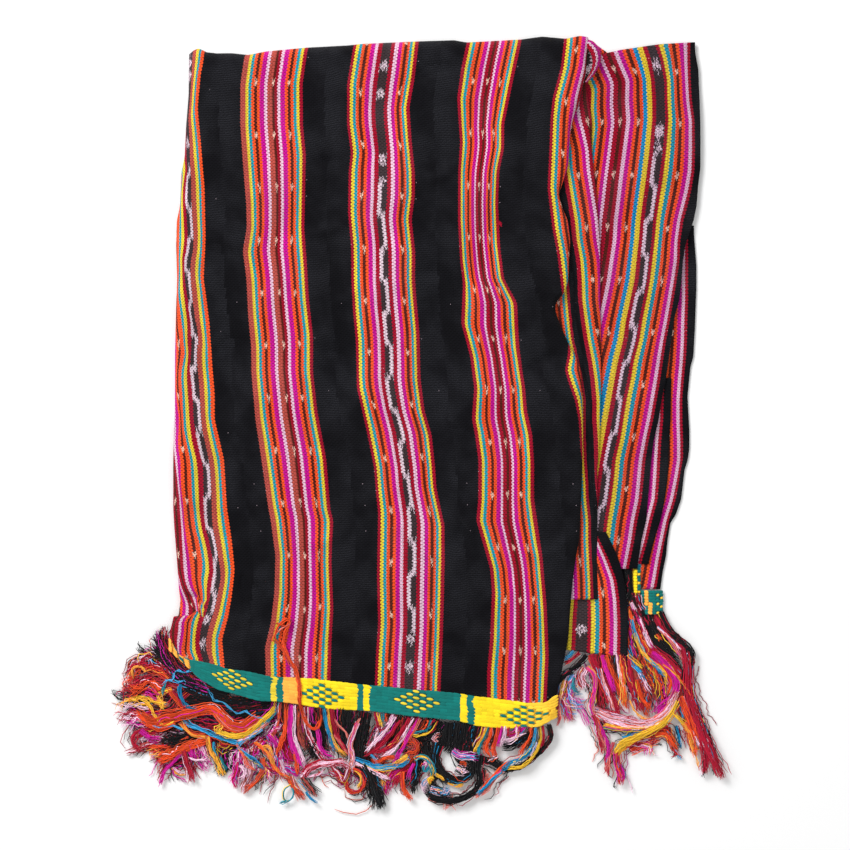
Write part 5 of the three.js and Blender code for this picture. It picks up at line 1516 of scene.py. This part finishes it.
ruby brown | 44 6.1 0.5 1 | 266,-343 270,-371 270,-398 275,-421;
rose | 19 2.6 0.5 3 | 273,-344 278,-362 284,-378 289,-394;
pale salmon | 19 2.8 0.5 3 | 270,-362 275,-381 281,-398 290,-421;
orange | 25 3.8 0.5 2 | 279,-344 286,-367 297,-392 308,-416;
pale | 15 2.3 0.5 3 | 292,-344 296,-362 300,-378 306,-394;
orange amber | 19 3.4 0.5 3 | 297,-344 300,-367 302,-392 302,-413;
brown | 12 2.7 0.7 2 | 289,-344 292,-373 300,-405;
black | 22 4.1 0.7 1 | 304,-346 308,-371 310,-398;
ruby | 36 6.8 0.7 2 | 305,-346 310,-370 319,-394 327,-421;
orange brick | 29 6.8 0.7 1 | 313,-348 319,-378 327,-405 335,-427;
sky blue | 13 2.7 0.7 3 | 308,-344 313,-355 324,-367 331,-383;
gold | 8 1.6 0.5 3 | 308,-344 316,-352 328,-362;
pale ruby | 16 4.1 1.1 3 | 324,-367 331,-383 338,-397;
ruby brick | 44 9.5 0.8 1 | 324,-362 335,-386 344,-410;
orange | 18 3.1 0.7 3 | 319,-378 324,-400 338,-418;
amber | 5 1.1 0.5 4 | 310,-405 316,-418 327,-429 338,-429;
salmon pale | 44 4.5 0.5 4 | 266,-420 281,-428 300,-432 321,-436 340,-433 356,-424 367,-409 374,-394;
pale | 18 2.3 0.4 4 | 270,-425 292,-436 316,-441 338,-437 356,-427 370,-408;
ruby pale | 22 4.1 0.5 3 | 262,-416 278,-421 297,-427 324,-432;
amber gold | 22 2.8 0.5 4 | 274,-439 294,-443 319,-443 340,-441 356,-429 370,-413;
cyan sky | 13 2.3 0.5 3 | 275,-443 297,-443 324,-446;
blue sky | 22 3.4 0.7 3 | 338,-441 324,-448 310,-454 300,-454;
gold | 34 3.8 0.5 4 | 374,-405 366,-421 354,-436 335,-448 316,-456 300,-464 290,-475;
gold | 9 1.6 0.4 4 | 367,-421 378,-432 385,-439;
gold amber | 18 3.4 1.4 3 | 324,-456 308,-467 297,-475 294,-482;
ruby salmon | 25 3.1 0.5 3 | 261,-424 267,-437 270,-452 274,-467 275,-479;
rose | 19 2.6 0.5 3 | 267,-435 275,-452 281,-470 281,-486;
salmon ruby | 13 2.3 0.7 3 | 289,-462 284,-479 281,-497 282,-509;
ruby | 6 1.5 0.5 2 | 278,-483 278,-497 277,-506;
rose ruby orange | 26 4.1 0.8 3 | 292,-475 294,-493 297,-508 296,-520;
rose | 12 2.6 0.7 3 | 297,-493 302,-505 302,-516;
pale | 2 0.4 0.7 1 | 298,-504 306,-508 312,-521 313,-532;
black | 3 0.9 1.1 1 | 294,-510 289,-521 293,-525;
orange ruby | 29 6.8 1.1 2 | 344,-427 354,-443 362,-450;
orange | 19 3.8 0.7 3 | 344,-452 358,-451 366,-460 373,-473;
ruby brown | 15 3.2 0.7 2 | 362,-443 367,-462 373,-479 366,-483;
blue black | 11 1.8 0.5 2 | 374,-440 377,-456 379,-473;
orange sky | 9 1.9 0.7 2 | 367,-466 375,-477 382,-486;
ruby pale | 29 6.8 3 1 | 304,-459 324,-463 344,-459;
amber pale rose | 19 6.8 2.4 1 | 324,-462 338,-467 340,-481;
orange ruby | 22 6.8 1.1 1 | 310,-473 331,-464 351,-456;
back:
black | 34 5 0.9 1 | 308,-228 309,-242 310,-257 313,-272;
black ruby | 20 4 0.9 2 | 318,-260 320,-269 324,-281;
ruby orange rose black | 34 7 2 1 | 310,-268 309,-295 312,-325 320,-355 328,-385;
orange gold black ruby | 30 8 2.4 1 | 318,-290 324,-320 334,-350 345,-380 348,-405;
black ruby blue | 28 8 2.4 1 | 312,-330 322,-365 335,-395 340,-420;
ruby rose black | 24 7 2.4 0 | 340,-340 352,-375 356,-410 350,-440;
black | 26 5 1.2 2 | 309,-268 313,-276 320,-288 326,-300 334,-314;
black ruby | 22 5 1.4 3 | 318,-264 322,-276 327,-290 334,-306;
ruby pale rose | 14 2.4 1.2 3 | 311,-274 318,-288 326,-304 334,-320 344,-338;
ruby | 29 3.8 0.5 2 | 312,-270 319,-290 328,-313 338,-338 344,-354;
orange | 29 3.2 0.5 2 | 310,-278 316,-304 327,-327 340,-344 356,-362 366,-378 362,-397;
amber gold | 13 1.8 0.4 3 | 316,-313 325,-335 340,-354 356,-367 362,-383;
blue sky | 11 1.6 0.4 3 | 313,-294 317,-313 331,-343 347,-362 359,-373;
rose | 9 1.6 0.4 3 | 313,-275 321,-292 328,-308 333,-324;
pale | 13 1.8 0.4 3 | 313,-273 320,-286 327,-302 332,-320 340,-335;
ruby | 44 5.4 0.5 2 | 335,-331 351,-344 367,-356 378,-373 382,-394;
rose | 29 3.8 0.4 3 | 340,-340 356,-354 369,-370 374,-386 369,-402 356,-416 344,-429;
ruby rose | 15 2.7 0.5 2 | 324,-324 344,-351 362,-378 364,-392;
black | 51 6.1 0.5 1 | 324,-274 332,-297 344,-324 362,-344 381,-362;
black | 36 4.1 0.5 2 | 338,-284 344,-305 356,-324 373,-340;
black | 36 3.6 0.5 3 | 351,-285 360,-305 370,-317 383,-329 393,-342 392,-362;
ruby | 29 3.8 0.5 3 | 346,-289 356,-310 371,-324 383,-338 389,-356;
pale salmon | 9 1.5 0.4 4 | 347,-306 358,-316 370,-327 378,-338;
salmon rose | 9 1.8 0.4 4 | 356,-313 370,-332 383,-351;
orange | 8 1.8 0.4 3 | 347,-316 354,-325;
ruby | 80 5.1 0.5 3 | 386,-340 389,-362 389,-385 394,-408 404,-435 414,-462 425,-486 435,-508;
black | 36 5.1 0.5 3 | 392,-351 387,-378 394,-405 406,-437 417,-467 428,-494;
ruby | 29 5.1 1.1 3 | 405,-443 410,-466 413,-486 412,-505;
black pale | 8 2.7 1.1 2 | 413,-489 410,-502 408,-510;
black | 8 2.7 1.4 2 | 424,-491 427,-508;
amber orange | 6 1.2 0.4 4 | 354,-356 369,-367 381,-381 392,-398 398,-413;
orange | 29 3.8 0.7 3 | 379,-400 385,-416 392,-432 397,-448 401,-462;
orange amber | 22 3.8 1.4 3 | 383,-435 392,-451 396,-470 401,-481;
pale sky | 8 2 0.8 3 | 392,-443 401,-459 409,-473;
amber | 3 0.9 0.5 2 | 398,-475 402,-489 405,-500;
blue | 6 1.5 0.5 3 | 375,-408 381,-421 382,-432;
ruby brick | 44 6.8 0.7 1 | 373,-392 381,-412 392,-439 394,-466;
pale amber salmon | 15 5.4 1.6 2 | 389,-452 397,-466 408,-473;
loose_bundle:
orange | 6 1.6 1.1 5 | -151,-294 -162,-302 -169,-316 -171,-325;
salmon orange | 5 1.4 0.8 5 | -147,-300 -158,-308 -167,-316;
orange | 9 1.9 0.8 5 | -170,-319 -161,-331 -151,-346 -142,-362 -136,-378 -135,-405 -131,-427;
orange | 11 1.8 0.8 5 | -158,-294 -148,-298 -155,-312 -157,-329 -148,-351 -139,-367 -136,-389 -134,-410;
orange brick | 5 1.4 0.7 5 | -166,-300 -153,-305 -146,-294;
"""


def lock_of(entry):
    colours, sizes, path = entry.split("|")
    count, spread, curl, level = (float(size) for size in sizes.split())
    return colours.strip(), int(count), spread, curl, int(level), points_of(path)


LOCKS = {}
for entry in LOCK_TABLE.split(";")[:-1]:
    if ":" in entry:
        fringe_name, entry = entry.split(":")
        LOCKS[fringe_name.strip()] = []
    LOCKS[fringe_name.strip()].append(lock_of(entry))


def surface_turn(x, y, height, lean):
    """How a stitch turns to lie on the surface and lean along its row."""
    slope_x = (height(x + 1.0, y) - height(x - 1.0, y)) / 2.0
    slope_y = (height(x, y + 1.0) - height(x, y - 1.0)) / 2.0
    return (math.atan(slope_y), -math.atan(slope_x), lean)


def band_stitches(columns, rows, top_of, foot_of, height, stitch_of):
    """Points, colours, sizes and turns of the stitches that lie in rows between two edges of a band."""
    chance = np.random.default_rng(SEED)
    points, colours, sizes, turns = [], [], [], []
    for row in range(rows):
        share = (row + 0.5) / rows
        for column, place in enumerate(columns):
            name, (length, high, rise), lean = stitch_of(place, share, row, column)
            x = place + chance.normal(0, UNEVEN_ALONG)
            y = mix(top_of(x), foot_of(x), share) + chance.normal(0, UNEVEN_ACROSS)
            ahead, behind = (mix(top_of(x + step), foot_of(x + step), share) for step in (4, -4))
            slope = math.atan2(ahead - behind, 8.0) + lean + chance.normal(0, UNEVEN_LEAN)
            lift = DIAMOND_LIFT if length == SHORT[0] else 0.0
            points.append((x, y, float(height(np.float64(x), np.float64(y))) + lift))
            colours.append(dyed(name, chance.uniform(0.86, 1.1)))
            row_height = (top_of(x) - foot_of(x)) / rows
            sizes.append((length * MM, high * row_height * MM, rise * MM))
            turns.append(surface_turn(np.float64(x), np.float64(y), height, slope))
    return points, colours, sizes, turns


def stitched(name, stitches):
    """One mesh of all these stitches."""
    points, colours, sizes, turns = stitches
    source = source_mesh(points, [], [
        ("yarn_colour", "FLOAT_COLOR", "color", colours), ("stitch_size", "FLOAT_VECTOR", "vector", sizes),
        ("turn", "FLOAT_VECTOR", "vector", turns)])
    return grown(name, source, STITCH_TREE, Sides=10, Thickness=1.0, Yarn=BAND_YARN)


def ground_strip(name, x, y, z, colour_of):
    """The ground that the stitches are worked on, in their block colours darkened as painted shade where it
    shows between the stitches.
    """
    vertices = np.stack([x, y, z], axis=-1).reshape(-1, 3)
    piece = new_piece(name, vertices, quads_of(x.shape).tolist(), [BAND_YARN])
    layer = piece.data.color_attributes.new("yarn_colour", "FLOAT_COLOR", "POINT")
    depth = np.repeat(np.linspace(0, 1, x.shape[0]), x.shape[1])
    shades = [dyed(colour_of(*place), GROUND_SHADE) for place in zip(x.ravel(), depth)]
    layer.data.foreach_set("color", np.array(shades, dtype=np.float32).ravel())
    return piece


def band_height(x, y):
    """The face of the front end's band."""
    return front_height(x, y) + BAND_LIFT


BAND_INSET = 2.0
# Painted shade: the share of the stitches' own colour that the ground between them keeps.
GROUND_SHADE = 0.6
band_plan = dict(
    left=lambda y: LINE["left"](y) + BAND_INSET, right=lambda y: LINE["right"](y) - BAND_INSET,
    head=band_top_of, foot=lambda x: band_foot_of(x) + 0.6)
band_x, band_y = plan_grid(shares(530, 180, 12, 8), np.linspace(0, 1, 10), **band_plan)
band_ground = ground_strip("twined_band_ground", band_x, band_y, band_height(band_x, band_y), block_colour)
thicken(band_ground, 0.9)
band_columns = np.interp(np.arange(BAND_COLUMNS[-1][0] + 1), *zip(*BAND_COLUMNS))
band_front = stitched("twined_band_stitches", band_stitches(
    band_columns, STITCH_ROWS, band_top_of, band_foot_of, lambda x, y: band_height(x, y) + 0.35, band_stitch))
for piece in (band_ground, band_front):
    finish_piece(piece, ["twined_band_front"])


# The two short bits of the back end's band, curled up: left, right, head, foot, low side, rise, and the
# colours from left to right.
BACK_BITS = {
    "twined_band_back": (326.5, 355.5, -257.5, -289.5, 2.6, 5.0, "green amber green green green"),
    "twined_band_stub": (316.5, 325.5, -229.5, -261.5, 2.6, 2.6, "lemon lemon green"),
}


def back_bit(name):
    """One bit of the back end's band: its ground and its stitches."""
    left, right, head, foot, low, rise, names = BACK_BITS[name]
    colours = names.split()

    def height(x, y):
        return low + rise * np.sin(np.pi * np.clip((x - left) / (right - left), 0, 1)) + 0.0 * y

    def colour_of(x, share):
        place = (x - left) / (right - left) - 0.2 * (share - 0.5)
        return colours[int(np.clip(place * len(colours), 0, len(colours) - 1))]

    def bit_stitch(x, share, row, column):
        if x > right - 0.35 * (right - left) and (row + 2 * column) % 3 == 0:
            return "gold", (4.6, 0.8, 2.6), 0.5
        return colour_of(x, share), (6.6, 1.25, 1.8), -0.3

    x, y = np.meshgrid(np.linspace(left, right, 16), np.linspace(head, foot, 12))
    ground = ground_strip(name + "_ground", x, y, height(x, y), colour_of)
    thicken(ground, 1.0)
    columns = np.linspace(left + 1.5, right - 2.0, max(int((right - left) / 4.6), 2))
    stitches = band_stitches(columns, STITCH_ROWS, lambda x: head + 0 * x, lambda x: foot + 0 * x,
                             lambda x, y: height(x, y) + 0.4, bit_stitch)
    return ground, stitched(name + "_stitches", stitches)


for name in BACK_BITS:
    for piece in back_bit(name):
        finish_piece(piece, [name])


# ---------- the fringe ----------
YARN_RADIUS = 0.62
FLOOR_GAP = 0.75  # the lowest that a yarn's middle lies
STRAYS = "ruby black orange rose black gold ruby blue pale orange amber sky".split()
DARK_STRAYS = "black black black black brown ruby blue".split()  # among black yarns
BELOW = "black ruby black rose black orange ruby".split()
# How many yarns lie below each lock, so that the floor doesn't show between the locks.
COUNT_BELOW = {
    "front_left": 16, "front_middle": 13, "front_right": 2, "flap": 7, "back": 2, "loose_bundle": 0,
}
LEVEL_STEP = 1.9  # how much higher each level of locks lies
FALL = 26.0  # how far from the edge the yarns take to come down to the floor
TOP_LEVEL = 4  # locks of a higher level lie on the cloth
EDGES = {
    "band": np.array([(x, float(band_foot_of(x))) for x in np.linspace(-313, 208, 90)]),
    "flap": np.array([(x, float(flap_foot_of(x))) for x in np.linspace(222, 309, 20)]),
    "back": np.array([(x, BACK_BITS["twined_band_back"][3]) for x in np.linspace(310, 356, 12)]),
}
EDGE_OF = {
    "front_left": ("band", 10.0), "front_middle": ("band", 11.5), "front_right": ("band", 11.5),
    "flap": ("flap", 6.8), "back": ("back", 4.6), "loose_bundle": ("band", 12.0),
}


def smooth_path(points, count=160):
    """A lock's path as points spaced evenly along a smooth curve through it."""
    ends = [2 * np.array(points[0]) - points[1], 2 * np.array(points[-1]) - points[-2]]
    knots = np.array([ends[0], *points, ends[1]], dtype=float)
    runs = []
    for a, b, c, d in zip(knots, knots[1:], knots[2:], knots[3:]):
        t = np.linspace(0, 1, 24, endpoint=False)[:, None]
        bend, twist = 2 * a - 5 * b + 4 * c - d, 3 * b - a - 3 * c + d
        runs.append(0.5 * (2 * b + (c - a) * t + bend * t**2 + twist * t**3))
    dense = np.concatenate(runs + [knots[-2:-1]])
    run = np.concatenate([[0.0], np.cumsum(np.hypot(*np.diff(dense, axis=0).T))])
    places = np.linspace(0, run[-1], count)
    return np.stack([np.interp(places, run, dense[:, axis]) for axis in (0, 1)], axis=-1), run[-1]


TIP_FROM, TIP_CURL = 0.7, 1.6  # where a yarn's loose tip starts, and how far it curls
TIP_WIDTH = 0.4  # of the yarn's own width


def one_yarn(lock, edge, root_height, reach, chance):
    """The points of one yarn along its lock's path, with its own waves and its own place in the heap."""
    path, length, count, spread, curl, level = lock
    start = chance.uniform(0.0, 0.04) * (length > 30)
    steps = int(np.clip(length * reach / (8.0 if curl < 1.0 else 4.5), 5, 22))
    place = np.linspace(start, reach, steps + 1)
    inside = np.clip(place, 0, 1) * (len(path) - 1)
    ahead, behind = np.minimum(inside + 3, len(path) - 1), np.maximum(inside - 3, 0)
    places = np.arange(len(path))
    x, y = (np.interp(inside, places, path[:, axis]) for axis in (0, 1))
    dx, dy = (
        np.interp(ahead, places, path[:, axis]) - np.interp(behind, places, path[:, axis]) for axis in (0, 1))
    size = np.maximum(np.hypot(dx, dy), 1e-6)
    side = chance.normal(0, 0.5) * spread
    fray = 1.0 + chance.uniform(-0.5, 1.0) * np.clip(place, 0, 1) ** 3
    phase, turns = chance.uniform(0, 2 * math.pi), chance.uniform(1.0, 2.4) * max(length, 20) / 60
    wobble = curl * (0.7 * np.sin(phase + 2 * math.pi * turns * place) +
                     0.5 * np.sin(2.1 * phase + 5.3 * math.pi * turns * place))
    away = side * fray + wobble * (0.3 + np.clip(place, 0, 1))
    beyond = np.clip(place - 1, 0, 1) * length
    x, y = x + (dx * beyond - dy * away) / size, y + (dy * beyond + dx * away) / size
    tip = np.clip((place - TIP_FROM) / (1 - TIP_FROM), 0, 1.2)
    bend = TIP_CURL * min(max(curl - 1.3, 0.0), 1.8) * (0.3 + abs(math.sin(3 * phase))) * tip
    x, y = x + bend * np.cos(phase + 5.0 * tip), y + bend * np.sin(phase + 5.0 * tip)
    heap = FLOOR_GAP + LEVEL_STEP * min(level, TOP_LEVEL) + chance.uniform(0, 1.5 + 0.03 * count)
    if level > TOP_LEVEL:
        z = front_height(x, y) + 1.7 + chance.uniform(0, 2.4)
    else:
        z = heap + 0.5 * np.sin(phase + 9 * place) * (heap > 2)
        gap = np.min(np.hypot(x[:, None] - edge[:, 0], y[:, None] - edge[:, 1]), axis=1)
        lift = root_height + chance.uniform(-1.5, 1.5)
        z = np.maximum(z * np.clip(0.5 + gap / 30, 0, 1), FLOOR_GAP)
        z = z + np.maximum(lift - z, 0) * np.exp(-((gap / FALL) ** 2))
    return np.stack([x, y, np.maximum(z, FLOOR_GAP)], axis=-1)


def lock_yarns(lock, edge, root_height, count_below, chance):
    """The yarns of one lock, with strays of other colours and, below it, yarns of dark colours that are
    darkened further as painted shade.
    """
    names, count, spread, curl, level, points = lock
    path, length = smooth_path(points)
    below = count_below if level < TOP_LEVEL and length > 40 else 0
    strays = DARK_STRAYS if names == "black" else STRAYS
    kinds = [
        (names.split(), count, spread, max(curl, 1.2), level, (0.84, 1.03), (0.62, 1.2)),
        (strays, count // 7, 1.1 * spread + 1.6, curl + 1.8, level, (0.5, 0.92), (0.8, 1.25)),
        # Below the lock: dark yarns, their tones lowered as painted shade under the locks above them.
        (BELOW, below, 17.0, 3.5, 0, (0.5, 0.85), (0.4, 0.9)),
    ]
    yarns = []
    for colours, number, wide, waves, high, reaches, tones in kinds:
        for turn in range(number):
            shape = (path, length, count, wide, waves, high)
            made = one_yarn(shape, edge, root_height, chance.uniform(*reaches), chance)
            name = colours[chance.integers(len(colours)) if colours is strays else turn % len(colours)]
            yarns.append((made, dyed(name, chance.uniform(*tones))))
    return yarns


def yarn_piece(name, yarns):
    """One mesh of many yarns, from their paths."""
    vertices = np.concatenate([points for points, _ in yarns])
    edges, colours, radii, first = [], [], [], 0
    for points, colour in yarns:
        count = len(points)
        edges += [(first + k, first + k + 1) for k in range(count - 1)]
        colours += [colour] * count
        taper = np.ones(count)
        taper[-1] = TIP_WIDTH
        radii.append(taper * YARN_RADIUS * MM)
        first += count
    source = source_mesh(vertices, edges, [
        ("yarn_colour", "FLOAT_COLOR", "color", colours),
        ("yarn_radius", "FLOAT", "value", np.concatenate(radii))])
    return grown(name, source, YARN_TREE, Sides=3, Thickness=1.0, Yarn=FRINGE_YARN)


def fringe(name):
    """All the yarns of one fringe."""
    edge, root_height = EDGE_OF[name]
    chance = np.random.default_rng(SEED + len(name) + ord(name[-1]))
    yarns = []
    for lock in LOCKS[name]:
        yarns += lock_yarns(lock, EDGES[edge], root_height, COUNT_BELOW[name], chance)
    return yarn_piece(name + "_yarns", yarns)


FRINGE_NODES = {
    "front_left": "fringe_front_left", "front_middle": "fringe_front_middle",
    "front_right": "fringe_front_right", "flap": "fringe_flap", "back": "fringe_back",
    "loose_bundle": "loose_bundle",
}
for name, node in FRINGE_NODES.items():
    finish_piece(fringe(name), [node])


# ---------- floor, lights and camera ----------
CAMERA_HEIGHT = 3.2
SENSOR_WIDTH = 36.0  # mm
VIEW_WIDTH, VIEW_LEVEL = 1.1475, 0.01  # the width that the camera takes in, and at which height
MIDDLE = (0.03375, -0.03375)
FLOOR_REACH, FLOOR_DROP = 9, 0.0004


def lay_floor():
    around = [(-1, -1), (1, -1), (1, 1), (-1, 1)]
    corners = [(FLOOR_REACH * x, FLOOR_REACH * y, -FLOOR_DROP) for x, y in around]
    mesh = bpy.data.meshes.new("floor")
    mesh.from_pydata(corners, [], [(0, 1, 2, 3)])
    material, shades, shader = new_material("pale_floor", 0.9, 0.2, 0.0)
    place = shades.node("ShaderNodeTexCoord").outputs["Object"]
    spread = shades.times(shades.noise(place, 3.0, 2.0), 0.02)
    colour = shades.blend(spread, (0.96, 0.96, 0.96, 1), (0.9, 0.9, 0.9, 1))
    shades.put(shader.inputs["Base Color"], colour)
    mesh.materials.append(material)
    floor = bpy.data.objects.new("floor", mesh)
    bpy.context.scene.collection.objects.link(floor)


def place_light(name, power, size, place):
    """A square light, turned to the middle of the cloth."""
    light = bpy.data.lights.new(name, "AREA")
    light.energy, light.shape, light.size = power, "SQUARE", size
    lamp = bpy.data.objects.new(name, light)
    lamp.location = place
    lamp.rotation_euler = (-mathutils.Vector(place)).to_track_quat("-Z", "Y").to_euler()
    bpy.context.scene.collection.objects.link(lamp)


def place_camera():
    data = bpy.data.cameras.new("camera")
    data.sensor_width = SENSOR_WIDTH
    data.lens = SENSOR_WIDTH * (CAMERA_HEIGHT - VIEW_LEVEL) / VIEW_WIDTH
    camera = bpy.data.objects.new("camera", data)
    camera.location = (*MIDDLE, CAMERA_HEIGHT)
    bpy.context.scene.collection.objects.link(camera)
    bpy.context.scene.camera = camera


lay_floor()
place_light("soft_window", 205.0, 2.0, (-2.5, 2.8, 2.8))
place_light("fill", 14.0, 2.5, (1.8, -1.2, 2.6))
place_camera()
world = bpy.data.worlds.new("pale_room")
world.use_nodes = True
world.node_tree.nodes["Background"].inputs["Color"].default_value = (1.0, 1.0, 1.0, 1.0)
world.node_tree.nodes["Background"].inputs["Strength"].default_value = 0.56
bpy.context.scene.world = world
bpy.context.scene.view_settings.view_transform = "Standard"
